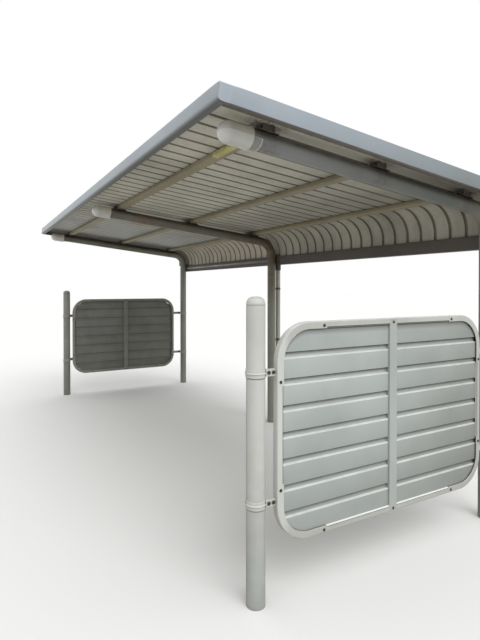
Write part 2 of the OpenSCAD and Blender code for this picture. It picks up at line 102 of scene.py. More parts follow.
class ShelterRoofSizes(bpy.types.PropertyGroup):
    """Sizes of the roof, its trims, purlins, arm caps and gutter"""
    lift: size("Roof lift", "From the arms' axis up to the underside of the roof sheet", TUBE_R + PURLIN_H)
    edge: size("Roof edge", "From the middle post's axis to the roof's side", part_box("right_side_trim")[1].x)
    reach: size("Roof reach", "From the rear posts' axis to the roof's front, along the slope", 2.030)
    bend: size("Bend radius", "Radius of the underside where the sheet turns down", 0.188)
    back: size("Upright part", "From the rear posts' axis back to the upright part of the sheet", 0.063)
    sheet: size("Sheet", "Thickness of the roof sheet", 0.0015)
    rib_pitch: size("Rib pitch", "Distance between neighbouring ribs", 0.1245)
    rib_foot: size("Rib foot", "Width of the open channel under a rib, at the sheet", 0.026)
    rib_crown: size("Rib crown", "Width of that channel at its top", 0.014)
    rib_rise: size("Rib rise", "Height of that channel", 0.012)
    trim_drop: size("Trim drop", "How far the trims hang below the underside of the sheet", 0.049)
    trim_rise: size("Trim rise", "How far the trims stand above the underside of the sheet", 0.029)
    trim_metal: size("Trim metal", "Thickness of the trims", 0.0025)
    trim_depth: size("Front trim depth", "Depth of the underside of the front trim", 0.040)
    trim_round: size("Front trim round", "Radius of the front trim's lower edge", 0.020)
    front_lip: size("Front lip", "Depth of the lip along the front trim's top", 0.009)
    side_lip: size("Side lip", "Width of the side trims' lips", 0.022)
    corner_width: size("Corner width", "Width of the roof's corner caps", 0.024)
    corner_length: size("Corner length", "Length of those caps along the side of the roof", 0.055)
    corner_round: size("Corner round", "Radius of the upright edge of a corner cap", 0.014)
    purlin_width: size("Purlin width", "Width of a purlin", PURLIN_W)
    purlin_height: size("Purlin height", "Height of a purlin", PURLIN_H)
    purlin_round: size("Purlin edge", "Outer radius of a purlin's long edges", 0.006)
    purlin_wall: size("Purlin wall", "Wall of a purlin", 0.0023)
    cap_radius: size("Cap radius", "Outer radius of an arm cap's rim", 0.055)
    cap_drop: size("Cap drop", "How far a cap's axis lies below the arm's", 0.004)
    cap_dome: size("Cap dome", "Length of a cap's dome", 0.056)
    strap_width: size("Strap width", "Width of the strap behind a cap", 0.050)
    gutter_top: size("Gutter top", "Height of the gutter's rim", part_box("right_gutter")[1].z)
    gutter_low: size("Gutter floor", "Height of the gutter's underside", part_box("right_gutter")[0].z)
    gutter_metal: size("Gutter metal", "Thickness of the gutter's sheet", 0.002)
    sheet_dip: size("Sheet dip", "How far the roof sheet reaches down into the gutter", 0.022)
    tape_start: size("Tape start", "From the right arm's axis to the far end of the tape", 0.49)
    tape_length: size("Tape length", "Length of the tape along the purlin", 0.22)


class ShelterPanelSizes(bpy.types.PropertyGroup):
    """Sizes of the end panels and their clamps"""
    depth: size("Depth", "Depth of a panel frame", 0.040)
    corner: size("Corner radius", "Outer radius of a frame's corners", 0.185)
    corner_leg: size("Corner leg", "Straight length at each end of a corner piece", 0.105)
    flange: size("Corner flange", "Width of the face of a frame's corner pieces", 0.035)
    flange_between: size("Flange", "Width of the face of a frame between its corner pieces", 0.030)
    lip_rise: size("Lip rise", "How far the lip behind that face slopes inwards", 0.0045)
    metal: size("Frame metal", "Sheet thickness of a frame", 0.0025)
    bar: size("Bar width", "Width of the upright bar in the middle of a panel", 0.054)
    boards: IntProperty(name="Boards", description="Number of boards in a panel", default=8, min=3, max=20)
    inset: size("Board inset", "From the frame's face back to the boards' face", 0.009)
    foot: size("Lowest board", "From the lower edge of a panel up to its second board", 0.153)
    head: size("Top board", "From the top of a panel down to the lower edge of its top board", 0.138)
    step: size("Board step", "Depth of the hollows between boards", 0.011)
    gap: size("Board gap", "Height of the hollow under each board's lower edge", 0.025)
    ramp: size("Board ramp", "Height of the slope from that hollow out to the board below", 0.006)
    board_metal: size("Board metal", "Thickness of the board sheet", 0.002)
    clamp_height: size("Clamp height", "Height of a clamp band", 0.038)
    clamp_metal: size("Clamp metal", "Thickness of a clamp band", 0.003)
    bead: size("Bead height", "Height of the raised bead round a clamp band", 0.009)
    lug: size("Lug height", "Height of the lugs of a clamp", 0.034)
    lug_out: size("Lug place", "From a post's axis out to the middle of its lugs, along the shelter", 0.038)
    lug_rise: size("Lug rise", "From the middle of a clamp band up to the middle of its lugs", 0.004)


class ShelterColours(bpy.types.PropertyGroup):
    """Colours of the finishes"""
    # Painted shade and light: one paint, darker for the rear posts and arms, lighter for the front posts
    enamel: colour("Post enamel", "Stone-grey enamel of the rear posts and arms", (0.30, 0.30, 0.26))
    front_post: colour("Front post enamel", "Enamel of the front posts and clamps", (0.635, 0.645, 0.62))
    panel: colour("Panel enamel", "Enamel of the panel frames", (0.53, 0.545, 0.51))
    panel_bar: colour("Panel bars", "Enamel of the upright bars", (0.455, 0.49, 0.475))
    board: colour("Boards", "Coated sheet of the panels' boards", (0.474, 0.520, 0.510))
    sheet: colour("Roof sheet", "Coated roof sheet", (0.56, 0.555, 0.47))
    trim: colour("Trims", "Satin coating of the roof's trims", (0.375, 0.43, 0.48))
    purlin: colour("Purlins", "Enamel of the purlins", (0.345, 0.307, 0.207))
    bracket: colour("Brackets", "Enamel of the purlins' brackets", (0.135, 0.112, 0.105))
    plug: colour("Plugs", "Plugs in the purlins' ends", (0.13, 0.112, 0.105))
    gutter: colour("Gutter", "Brown-grey enamel of the gutter", (0.115, 0.105, 0.095))
    cap: colour("Arm caps", "Off-white plastic of the arm caps", (0.70, 0.72, 0.69))
    strap: colour("Straps", "Dull steel of the straps behind the arm caps", (0.36, 0.36, 0.36))
    pipe: colour("Downpipe", "Grey-brown plastic of the downpipe", (0.53, 0.555, 0.46))
    zinc: colour("Zinc", "Galvanised screws and washers of the roof", (0.45, 0.46, 0.46))
    bolt: colour("Bolts", "Darkened bolts and screws", (0.045, 0.04, 0.038))
    tape: colour("Tape", "Yellow tape on a purlin", (0.70, 0.66, 0.27))
    floor: colour("Floor", "Pale floor", (0.80, 0.80, 0.79))
    floor_light: colour("Floor's light", "What the floor throws back on the shelter", (0.46, 0.45, 0.42))


class ShelterStains(bpy.types.PropertyGroup):
    """Colours of dirt, wear and faded places, and of painted light, shade, highlights and reflections"""
    # Painted shade, partly grime: this colour darkens inward faces, and the boards low down and to the rear
    grime: colour("Grime", "Grime on sides that no rain washes", (0.115, 0.105, 0.085))
    # Dirt, and also painted shade in corners, along the arms' tops, under clamps, rims, board edges and trims
    dirt: colour("Dirt", "Dirt that runs down and gathers in corners", (0.075, 0.062, 0.047))
    dust: colour("Dust", "Pale dust on upward faces", (0.52, 0.50, 0.45))
    rust: colour("Rust", "Rust stains", (0.24, 0.11, 0.035))
    # Dirt and painted shade where the purlins cross the arms
    crossing: colour("Crossings", "Dirt where the purlins cross the arms", (0.085, 0.068, 0.070))
    groove: colour("Rib channels", "Dirt in the open channels under the ribs", (0.20, 0.17, 0.145))
    # Painted shade on the arms under the roof
    arm_film: colour("Arm film", "Film of dirt on all arms", (0.12, 0.118, 0.11))
    arm_cool: colour("Right arm, front", "Cool grey of the right arm near its cap", (0.32, 0.33, 0.345))
    arm_green: colour("Right arm, rear", "Greenish film further back on it", (0.150, 0.172, 0.160))
    arm_brown: colour("Middle arm", "Brown film on the middle arm", (0.135, 0.115, 0.072))
    arm_olive: colour("Left arm", "Olive film on the left arm", (0.185, 0.185, 0.125))
    bend_brown: colour("Middle bend", "Brown patches round the middle arm's bend", (0.15, 0.122, 0.075))
    splash: colour("Splashes", "Splashes from the ground on the front posts", (0.25, 0.28, 0.27))
    # Painted reflection along the gutter
    streak: colour("Gutter streak", "Pale streak along the gutter", (0.76, 0.79, 0.80))
    # Painted shade towards the gutter, and a painted highlight along the near corner's top
    trim_shade: colour("Rear of the trims", "Darker coating towards the gutter", (0.14, 0.160, 0.155))
    rubbed: colour("Rubbed trim", "Bare line along the top of the near corner", (0.90, 0.92, 0.93))
    pan: colour("Pan stains", "Uneven coating of the roof's pans", (0.33, 0.30, 0.27))
    # Painted shade towards the gutter, painted cool sky light in the left bay, painted light at the right
    # front
    pan_rear: colour("Pans, rear", "Dull underside towards the gutter", (0.215, 0.21, 0.17))
    pan_cool: colour("Pans, left", "Cool grey underside of the left bay", (0.53, 0.56, 0.565))
    pan_clean: colour("Pans, right", "Clean underside at the front of the right bay", (0.80, 0.79, 0.69))
    pan_bend: colour("Left bend", "Tan underside of the left bay's bend", (0.81, 0.72, 0.61))
    # Painted light on the frame by the front post
    rim_clean: colour("Clean rim", "Panel frame by its front post", (0.71, 0.73, 0.70))
    # Painted highlight on the boards' folds and on the frames' upward lips
    fold: colour("Board folds", "Light wear along the boards' folds", (0.78, 0.80, 0.76))
    # Painted light on the cap tips, and dirt and painted shade on their upper halves
    cap_tip: colour("Cap tips", "Plastic of the caps where rain keeps it clean", (0.97, 0.98, 0.96))
    cap_old: colour("Old cap", "Yellowed upper half of the caps", (0.60, 0.58, 0.48))
    cap_bleached: colour("Bleached cap", "Lighter patches there", (0.88, 0.87, 0.76))
    strap_old: colour("Old straps", "Brown film on the far straps", (0.165, 0.150, 0.110))
    strap_bead: colour("Strap bead", "Bright metal on the near strap's bead", (0.85, 0.85, 0.80))
    tape_worn: colour("Worn tape", "Light threads of the tape", (0.70, 0.68, 0.40))
    tape_dirt: colour("Dirty tape", "Dark threads of the tape", (0.26, 0.22, 0.06))
    spangle: colour("Spangle", "Dark crystals of the zinc", (0.20, 0.20, 0.19))
    # The edge colours below are wear lightened as painted highlights
    gutter_edge: colour("Gutter edges", "Worn edges of the gutter", (0.22, 0.20, 0.17))
    trim_edge: colour("Trim edges", "Worn edges of the trims", (0.80, 0.82, 0.83))
    panel_edge: colour("Frame edges", "Worn edges of the panel frames", (0.70, 0.70, 0.68))
    bar_edge: colour("Bar edges", "Worn edges of the upright bars", (0.62, 0.62, 0.60))
    cap_edge: colour("Cap edges", "Polished edges of the arm caps", (0.86, 0.87, 0.84))
    clamp_edge: colour("Clamp edges", "Polished edges of the clamps", (0.88, 0.89, 0.86))
    bolt_edge: colour("Bolt edges", "Worn edges of the bolts", (0.30, 0.28, 0.26))


# Shapes

def slope_point(x, s, h):
    """Point at x, a distance s towards the gutter along the arms' axis, and h square to it."""
    return Vector((x, POST_Y, ARM_H)) + ALONG * s + OFF * h


def flat(points):
    return [Vector(p) for p in points]


def fillet(points, radius, steps, closed=False):
    """Rounds the corners of a line or loop of 2-D points. radius is one number or one for each point."""
    made, count = [], len(points)
    for i, point in enumerate(points):
        r = radius[i] if isinstance(radius, (list, tuple)) else radius
        if r <= 0 or (not closed and i in (0, count - 1)):
            made.append(point)
            continue
        to_last, to_next = points[i - 1] - point, points[(i + 1) % count] - point
        half = to_last.angle(to_next) / 2
        if half > math.radians(89):
            made.append(point)
            continue
        cut = min(r / math.tan(half), 0.49 * to_last.length, 0.49 * to_next.length)
        r = cut * math.tan(half)
        u, v = to_last.normalized(), to_next.normalized()
        centre = point + (u + v).normalized() * (r / math.sin(half))
        start, end = point + u * cut - centre, point + v * cut - centre
        first = math.atan2(start.y, start.x)
        turn = (math.atan2(end.y, end.x) - first + math.pi) % (2 * math.pi) - math.pi
        for k in range(steps + 1):
            angle = first + turn * k / steps
            made.append(centre + Vector((math.cos(angle), math.sin(angle))) * r)
    return made


def offset(line, distance):
    """The line moved sideways to its left by a distance, mitred at its corners."""
    steps = [b - a for a, b in zip(line, line[1:])]
    left = [Vector((-step.y, step.x)).normalized() for step in steps]
    made = []
    for i, point in enumerate(line):
        normals = left[max(i - 1, 0):i + 1]
        middle = sum(normals, Vector((0, 0))).normalized()
        made.append(point + middle * (distance / max(middle.dot(normals[0]), 0.35)))
    return made


def metal(line, thickness):
    """Closed section of sheet metal that follows a line, with its thickness on the line's left."""
    return line + offset(line, thickness)[::-1]


def skin(bm, rings, looped=False, strip=False):
    """Walls between rings of points. The two ends get a face each, or a row of faces for sheet metal."""
    rows = [[bm.verts.new(p) for p in ring] for ring in rings]
    count = len(rows[0])
    for a, b in zip(rows, rows[1:] + (rows[:1] if looped else [])):
        for i in range(count):
            j = (i + 1) % count
            bm.faces.new((a[i], a[j], b[j], b[i]))
    for row in () if looped else (rows[0], rows[-1]):
        if strip:
            for i in range(count // 2 - 1):
                bm.faces.new((row[i], row[i + 1], row[count - 2 - i], row[count - 1 - i]))
        else:
            bm.faces.new(row)


def turned(bm, base, axis, profile, steps, hollow=False):
    """Round body about an axis from pairs of distance and radius. A hollow one has a closed profile."""
    side = axis.orthogonal().normalized()
    up = axis.cross(side).normalized()
    turns = [2 * math.pi * k / steps for k in range(steps)]
    skin(bm, [[base + axis * along + (side * math.cos(t) + up * math.sin(t)) * r for t in turns]
              for along, r in profile], looped=hollow)


def along_x(bm, section, ends, at):
    """Runs a section of sheet metal along X. at(x, u, v) gives the place of a point of the section."""
    skin(bm, [[at(x, p.x, p.y) for p in section] for x in ends], strip=True)


def bolt(bm, at, axis, across, height, washer=0.0):
    """Hexagon bolt head, on a washer if that has a width."""
    if washer:
        thick, edge, r = 0.0016, 0.0004, washer / 2
        turned(bm, at, axis, [(0, r), (thick - edge, r), (thick, r - 1.5 * edge)], 20)
        at = at + axis * thick
    r = across / 2 / math.cos(math.pi / 6)
    turned(bm, at, axis, [(0, r), (height * 0.82, r), (height, r * 0.84)], 6)


def screw(bm, at, axis):
    """Pan head screw with a recess, its profile given as shares of its height and radius."""
    across, height = 0.016, 0.0036
    shares = ((0, 1), (0.45, 0.97), (0.8, 0.78), (1, 0.42), (0.5, 0.32))
    turned(bm, at, axis, [(height * up, across / 2 * out) for up, out in shares], 14)


def piece(name, bm, material, replaces=(), sharp=35, attribute=None):
    """A finished object from a bmesh, riding on the shelter's one body."""
    mesh = bpy.data.meshes.new(name)
    bmesh.ops.recalc_face_normals(bm, faces=bm.faces)
    for face in bm.faces:
        face.smooth = True
    bm.to_mesh(mesh)
    bm.free()
    mesh.set_sharp_from_angle(angle=math.radians(sharp))
    mesh.materials.append(material)
    if attribute:
        title, values = attribute
        mesh.attributes.new(title, "FLOAT", "POINT").data.foreach_set("value", values)
    made = bpy.data.objects.new(name, mesh)
    bpy.context.scene.collection.objects.link(made)
    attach(made, "root")
    if replaces:
        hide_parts(*replaces)
    return made


def dress(material, slot, *nodes):
    """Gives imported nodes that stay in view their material."""
    for name in nodes:
        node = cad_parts[name]
        node.data.materials.clear()
        node.data.materials.append(material)
        node.data.set_sharp_from_angle(angle=math.radians(35))


# Finishes

def tone(title, factor=1.0):
    """One of the sidebar's colours as RGBA, made lighter or darker by a factor."""
    scene = bpy.context.scene
    group = scene.shelter_colours if title in ShelterColours.__annotations__ else scene.shelter_stains
    return (*(channel * factor for channel in getattr(group, title)), 1.0)


class Nodes:
    """A shader's node tree, with short ways to add what the finishes are made of."""

    def __init__(self, tree):
        self.tree = tree

    def place(self, kind, inputs=None, **settings):
        """Adds a node, with its inputs linked from sockets or set to values."""
        made = self.tree.nodes.new(kind)
        for key, value in settings.items():
            setattr(made, key, value)
        for key, value in (inputs or {}).items():
            if isinstance(value, bpy.types.NodeSocket):
                self.tree.links.new(value, made.inputs[key])
            else:
                made.inputs[key].default_value = value
        return made

    def parts(self, vector):
        return self.place("ShaderNodeSeparateXYZ", {0: vector}).outputs

    @cached_property
    def spot(self):
        """Place on the shelter, in the frame's metres."""
        return self.place("ShaderNodeTexCoord").outputs["Object"]

    @cached_property
    def axes(self):
        return self.parts(self.spot)

    @cached_property
    def normal(self):
        return self.place("ShaderNodeNewGeometry").outputs["Normal"]

    @cached_property
    def facing(self):
        return self.parts(self.normal)

    @cached_property
    def level(self):
        """Distance behind the rear posts' axis and height above the arms' axis there, before the slope."""
        return self.minus(self.axes["Y"], POST_Y), self.minus(self.axes["Z"], ARM_H)

    @cached_property
    def along(self):
        """Distance behind the rear posts' axis, along the arms."""
        back, up = self.level
        return self.minus(self.times(back, math.cos(SLOPE)), self.times(up, math.sin(SLOPE)))

    @cached_property
    def rise(self):
        """Height above the arms' axis, square to the slope."""
        back, up = self.level
        return self.plus(self.times(up, math.cos(SLOPE)), self.times(back, math.sin(SLOPE)))

    def maths(self, operation, a, b=0.0, clamp=False):
        return self.place("ShaderNodeMath", {0: a, 1: b}, operation=operation, use_clamp=clamp).outputs[0]

    def times(self, *factors, clamp=False):
        product = factors[0]
        for factor in factors[1:-1]:
            product = self.maths("MULTIPLY", product, factor)
        return self.maths("MULTIPLY", product, factors[-1], clamp)

    def plus(self, a, b, clamp=False):
        return self.maths("ADD", a, b, clamp)

    def minus(self, a, b):
        return self.maths("SUBTRACT", a, b)

    def apart(self, a, b):
        return self.maths("ABSOLUTE", self.minus(a, b))

    def squared(self, a):
        return self.times(a, a)

    def ranged(self, value, low, high, to_low=0.0, to_high=1.0, smooth=False):
        return self.place("ShaderNodeMapRange", {0: value, 1: low, 2: high, 3: to_low, 4: to_high},
                          interpolation_type="SMOOTHSTEP" if smooth else "LINEAR").outputs[0]

    def noise(self, scale, detail, roughness=0.5, stretch=None):
        vector = self.spot
        if stretch:
            vector = self.place("ShaderNodeMapping", {"Vector": vector, "Scale": stretch}).outputs[0]
        return self.place("ShaderNodeTexNoise", {"Vector": vector, "Scale": scale, "Detail": detail,
                                                 "Roughness": roughness}).outputs["Fac"]

    def patches(self, grain, low, high, to_low=0.0, to_high=1.0, smooth=False, stretch=None):
        """Mask in patches. grain is a noise's scale, detail and roughness, and low and high trim it."""
        return self.ranged(self.noise(*grain, stretch=stretch), low, high, to_low, to_high, smooth)

    def near(self, spot, radius):
        """Soft ball round a spot, 1 at its middle."""
        away = self.place("ShaderNodeVectorMath", {0: self.spot, 1: spot}, operation="DISTANCE")
        return self.ranged(away.outputs["Value"], radius, radius * 0.25, smooth=True)

    def blended(self, mask, a, b):
        return self.place("ShaderNodeMix", {0: mask, 6: a, 7: b}, data_type="RGBA").outputs[2]

    def tinted(self, shade, mask, title, factor=1.0):
        """The shade, turned by a mask towards one of the sidebar's colours."""
        return self.blended(mask, shade, tone(title, factor))

    def attribute(self, title):
        return self.place("ShaderNodeAttribute", attribute_name=title).outputs["Fac"]

    def effect(self, name, inputs):
        """Places one of the shared effects, and builds its node group the first time."""
        shared = bpy.data.node_groups.get(name)
        if shared is None:
            build, defaults, outputs = EFFECTS[name]
            shared = bpy.data.node_groups.new(name, "ShaderNodeTree")
            sockets = shared.interface
            for title, value in defaults.items():
                kind = "NodeSocketFloat" if isinstance(value, float) else "NodeSocketColor"
                sockets.new_socket(title, in_out="INPUT", socket_type=kind).default_value = value
            for title in outputs:
                kind = {"Colour": "Color", "Normal": "Vector"}.get(title, "Float")
                sockets.new_socket(title, in_out="OUTPUT", socket_type="NodeSocket" + kind)
            inside = Nodes(shared)
            given = inside.place("NodeGroupInput").outputs
            inside.place("NodeGroupOutput", build(inside, given))
        return self.place("ShaderNodeGroup", inputs, node_tree=shared).outputs


def grain_nodes(n, given):
    """Fine unevenness of a sprayed or moulded skin, and gloss that varies in patches."""
    coat = n.noise(given["Scale"], 2.0)
    bump = n.place("ShaderNodeBump", {"Distance": given["Depth"], "Strength": 1.0, "Height": coat})
    spread = n.times(n.minus(n.noise(7.0, 4.0, 0.6), 0.5), given["Spread"])
    return {"Normal": bump.outputs[0], "Roughness": n.plus(given["Roughness"], spread, clamp=True)}


def soiling_nodes(n, given):
    """Clouds of dirt, runs down upright faces and small specks, over a colour that varies a little."""
    clouds = n.ranged(n.noise(given["Scale"], 7.0, 0.62), 0.42, 0.72, smooth=True)
    runs = n.patches((1.0, 4.0, 0.6), 0.48, 0.78, smooth=True, stretch=(34.0, 34.0, 1.4))
    specks = n.patches((260.0, 1.0), 0.66, 0.74)
    dirty = n.plus(n.times(clouds, given["Amount"]), n.times(runs, given["Runs"]))
    mask = n.plus(dirty, n.times(specks, given["Specks"]), clamp=True)
    uneven = n.patches((1.7, 3.0), 0.3, 0.7, 0.93, 1.06)
    varied = n.place("ShaderNodeVectorMath", {0: given["Colour"], "Scale": uneven}, operation="SCALE")
    return {"Colour": n.blended(mask, varied.outputs[0], given["Dirt"])}


def crevice_shade_nodes(n, given):
    """Painted shade, partly dirt, in corners and under edges, not on faces that look up."""
    room = n.place("ShaderNodeAmbientOcclusion", {"Distance": given["Distance"]}, samples=6).outputs["AO"]
    broken = n.patches((30.0, 5.0, 0.65), 0.25, 0.75, 0.55, 1.15)
    closed = n.times(n.ranged(room, 0.75, 0.15), n.ranged(n.facing["Z"], 0.35, 0.75, 1.0, 0.0))
    return {"Mask": n.times(closed, broken, given["Amount"], clamp=True)}


def edge_wear_and_highlight_nodes(n, given):
    """Worn edges lightened as painted highlights, where the normal turns within a small radius."""
    rounded = n.place("ShaderNodeBevel", {"Radius": given["Radius"]}, samples=4).outputs[0]
    alike = n.place("ShaderNodeVectorMath", {0: rounded, 1: n.normal}, operation="DOT_PRODUCT")
    turning = n.ranged(alike.outputs["Value"], 0.985, 0.82)
    broken = n.patches((45.0, 5.0, 0.7), 0.35, 0.65)
    return {"Mask": n.times(turning, broken, given["Amount"], clamp=True)}


def crossing_nodes(n, given):
    """Patches of dirt and painted shade where the purlins cross the arms."""
    x = n.maths("ABSOLUTE", n.axes["X"])
    from_arm = n.maths("MINIMUM", x, n.apart(x, BAY))
    rows = n.maths("DIVIDE", n.minus(PURLIN_PITCH * 1.5 + PURLIN_S[0], n.along), PURLIN_PITCH)
    from_row = n.times(n.minus(n.maths("FRACT", rows), 0.5), PURLIN_PITCH)
    away = n.maths("SQRT", n.plus(n.squared(from_arm), n.squared(from_row)))
    inside = n.ranged(n.maths("DIVIDE", away, given["Radius"]), 1.0, 0.35, smooth=True)
    return {"Mask": n.times(inside, n.patches((42.0, 6.0, 0.7), 0.36, 0.58), given["Amount"], clamp=True)}


def inward_shade_nodes(n, given):
    """Painted shade on faces that look inwards along the shelter, partly grime where no rain washes them."""
    outward = n.times(n.facing["X"], n.maths("SIGN", n.axes["X"]))
    broken = n.patches((5.0, 5.0, 0.6), 0.3, 0.7, 0.8, 1.05)
    return {"Mask": n.times(n.ranged(outward, 0.05, -0.55, smooth=True), broken, given["Amount"], clamp=True)}


def dust_nodes(n, given):
    """Dust on faces that look up."""
    settled = n.patches((11.0, 6.0, 0.65), 0.3, 0.7, 0.35, 1.0)
    upward = n.ranged(n.facing["Z"], 0.35, 0.95, smooth=True)
    return {"Mask": n.times(upward, settled, given["Amount"], clamp=True)}


EFFECTS = {
    "grain": (grain_nodes, {"Scale": 350.0, "Depth": 0.0001, "Roughness": 0.45, "Spread": 0.15},
              ("Roughness", "Normal")),
    "soiling": (soiling_nodes, {"Colour": (0.5, 0.5, 0.5, 1), "Dirt": (0.1, 0.08, 0.06, 1), "Scale": 2.6,
                                "Amount": 0.3, "Runs": 0.2, "Specks": 0.1}, ("Colour",)),
    "crevices": (crevice_shade_nodes, {"Distance": 0.03, "Amount": 0.5}, ("Mask",)),
    "worn edges": (edge_wear_and_highlight_nodes, {"Radius": 0.002, "Amount": 0.5}, ("Mask",)),
    "crossings": (crossing_nodes, {"Radius": 0.12, "Amount": 0.8}, ("Mask",)),
    "sheltered sides": (inward_shade_nodes, {"Amount": 0.6}, ("Mask",)),
    "dust": (dust_nodes, {"Amount": 0.3}, ("Mask",)),
}


def finish(name, base, rough=0.45, metallic=0.0, coat=0.0, grain=(380.0, 0.00010, 0.14), scale=2.6,
           soil=(0.30, 0.22, 0.10), crevice=(0.03, 0.5), edge=None, dust=0.2, stain=None, grime=0.0):
    """Material of a weathered coating, from its base colour outwards. grain is scale, depth and spread of
    gloss, soil clouds, runs and specks, crevice reach and amount of painted corner shade, and edge
    radius, amount and colour of worn edges lightened as painted highlights."""
    made = bpy.data.materials.get(name)
    if made:
        return made
    made = bpy.data.materials.new(name)
    made.use_nodes = True
    n, shader = Nodes(made.node_tree), made.node_tree.nodes["Principled BSDF"]
    shader.inputs["Metallic"].default_value = metallic
    shader.inputs["Coat Weight"].default_value = coat
    shade = tone(base)
    if stain:
        shade = stain(n, shade)
    # Painted shade, partly grime, on faces that look inwards along the shelter
    if grime:
        shade = n.tinted(shade, n.effect("sheltered sides", {"Amount": grime})["Mask"], "grime")
    shade = n.effect("soiling", {"Colour": shade, "Dirt": tone("dirt"), "Scale": scale, "Amount": soil[0],
                                 "Runs": soil[1], "Specks": soil[2]})["Colour"]
    if dust:
        shade = n.tinted(shade, n.effect("dust", {"Amount": dust})["Mask"], "dust")
    # Painted shade, partly dirt, in corners and under edges
    crevice_shade_mask = n.effect("crevices", {"Distance": crevice[0], "Amount": crevice[1]})["Mask"]
    shade = n.tinted(shade, crevice_shade_mask, "dirt")
    # Worn edges lightened as painted highlights
    if edge:
        radius, amount, wear_and_highlight = edge
        shade = n.tinted(shade, n.effect("worn edges", {"Radius": radius, "Amount": amount})["Mask"], wear_and_highlight)
    grit, depth, spread = grain
    surface = n.effect("grain", {"Scale": grit, "Depth": depth, "Roughness": rough, "Spread": spread})
    n.tree.links.new(shade, shader.inputs["Base Color"])
    for title in ("Roughness", "Normal"):
        n.tree.links.new(surface[title], shader.inputs[title])
    return made


def crossed(n, shade, radius, amount):
    """The colour with dirt and painted shade where the purlins cross the arms."""
    return n.tinted(shade, n.effect("crossings", {"Radius": radius, "Amount": amount})["Mask"], "crossing")


def enamel_material():
    def stain(n, shade):
        """Painted shade on the arms, a film that differs from arm to arm, painted shade on top, and patches
        round the middle arm's bend.
        """
        x, z = n.axes["X"], n.axes["Z"]
        # Painted shade: the arms under the roof darker than the posts
        shade = n.tinted(shade, n.ranged(n.along, -0.20, -0.55, 0.0, 0.40), "arm_film")
        on_arm = n.ranged(n.along, -0.1, -0.4)
        cool = n.blended(n.ranged(n.along, -1.6, -0.5), tone("arm_cool"), tone("arm_green"))
        shade = n.blended(n.times(n.ranged(x, BAY - 0.3, BAY - 0.1, 0.0, 0.85), on_arm), shade, cool)
        over_post = n.ranged(z, ARM_H - 0.30, ARM_H - 0.05)
        near_middle = n.ranged(n.maths("ABSOLUTE", x), 0.2, 0.1)
        middle = n.times(near_middle, n.ranged(n.along, -1.6, -0.3, 0.10, 0.9), over_post)
        shade = n.tinted(shade, middle, "arm_brown")
        shade = n.tinted(shade, n.times(n.ranged(x, 0.2 - BAY, 0.1 - BAY, 0.0, 0.5), on_arm), "arm_olive")
        # Painted shade along the arms' tops, under the roof
        top = n.ranged(n.rise, -0.006, 0.026, smooth=True)
        shade = n.tinted(shade, n.times(top, n.patches((11.0, 6.0, 0.65), 0.3, 0.6, 0.6, 1.0)), "dirt")
        ragged = n.patches((22.0, 6.0, 0.7), 0.40, 0.62)
        shade = n.tinted(shade, n.times(n.near(slope_point(0.0, -1.45, -0.02), 0.16), ragged, 0.6), "rust")
        shade = crossed(n, shade, 0.09, 0.4)
        brown = n.times(n.near((0.0, POST_Y - 0.02, ARM_H - 0.25), 0.42),
                        n.patches((8.0, 5.0, 0.65), 0.3, 0.6, 0.35, 0.85))
        shade = n.tinted(shade, brown, "bend_brown")
        bend = n.near((0.0, POST_Y - 0.05, ARM_H - 0.06), 0.30)
        return n.tinted(shade, n.times(bend, ragged, 0.8), "dirt")
    return finish("post enamel", "enamel", rough=0.42, stain=stain, soil=(0.28, 0.12, 0.16), dust=0.12,
                  crevice=(0.05, 0.45))


def front_post_material():
    under = bpy.context.scene.shelter_panel.clamp_height / 2 + 0.0025

    def stain(n, shade):
        """Splashes from the ground, and a painted shadow line under the clamps."""
        z = n.axes["Z"]
        low = n.times(n.ranged(z, 0.75, 0.05, smooth=True), n.patches((6.0, 5.0), 0.3, 0.7, 0.35, 0.60))
        shade = n.tinted(shade, low, "splash")
        for clamp_z in CLAMP_Z:
            # Painted shadow line under each clamp band
            clamp_shadow = n.ranged(n.apart(z, clamp_z - under), 0.0042, 0.0018, 0.0, 0.75)
            shade = n.tinted(shade, clamp_shadow, "dirt", 2.0)
        return shade
    return finish("front post enamel", "front_post", rough=0.40, stain=stain, soil=(0.14, 0.06, 0.08),
                  dust=0.10, crevice=(0.03, 0.6), grime=0.69)


def gutter_material():
    line = bpy.context.scene.shelter_roof.gutter_low + 0.046

    def stain(n, shade):
        """Painted reflection: a pale band along the lower half, strongest towards the left end."""
        # Painted reflection along the gutter's lower half
        on_line = n.ranged(n.apart(n.axes["Z"], line), 0.014, 0.006, smooth=True)
        broken = n.patches((1.0, 4.0), 0.38, 0.58, 0.4, 1.0, stretch=(2.5, 30.0, 60.0))
        leftward = n.ranged(n.axes["X"], 0.2, -1.5, 0.0, 0.95)
        return n.tinted(shade, n.times(on_line, broken, leftward), "streak")
    return finish("gutter enamel", "gutter", rough=0.55, stain=stain, soil=(0.30, 0.0, 0.12),
                  crevice=(0.05, 0.6), edge=(0.002, 0.5, "gutter_edge"))


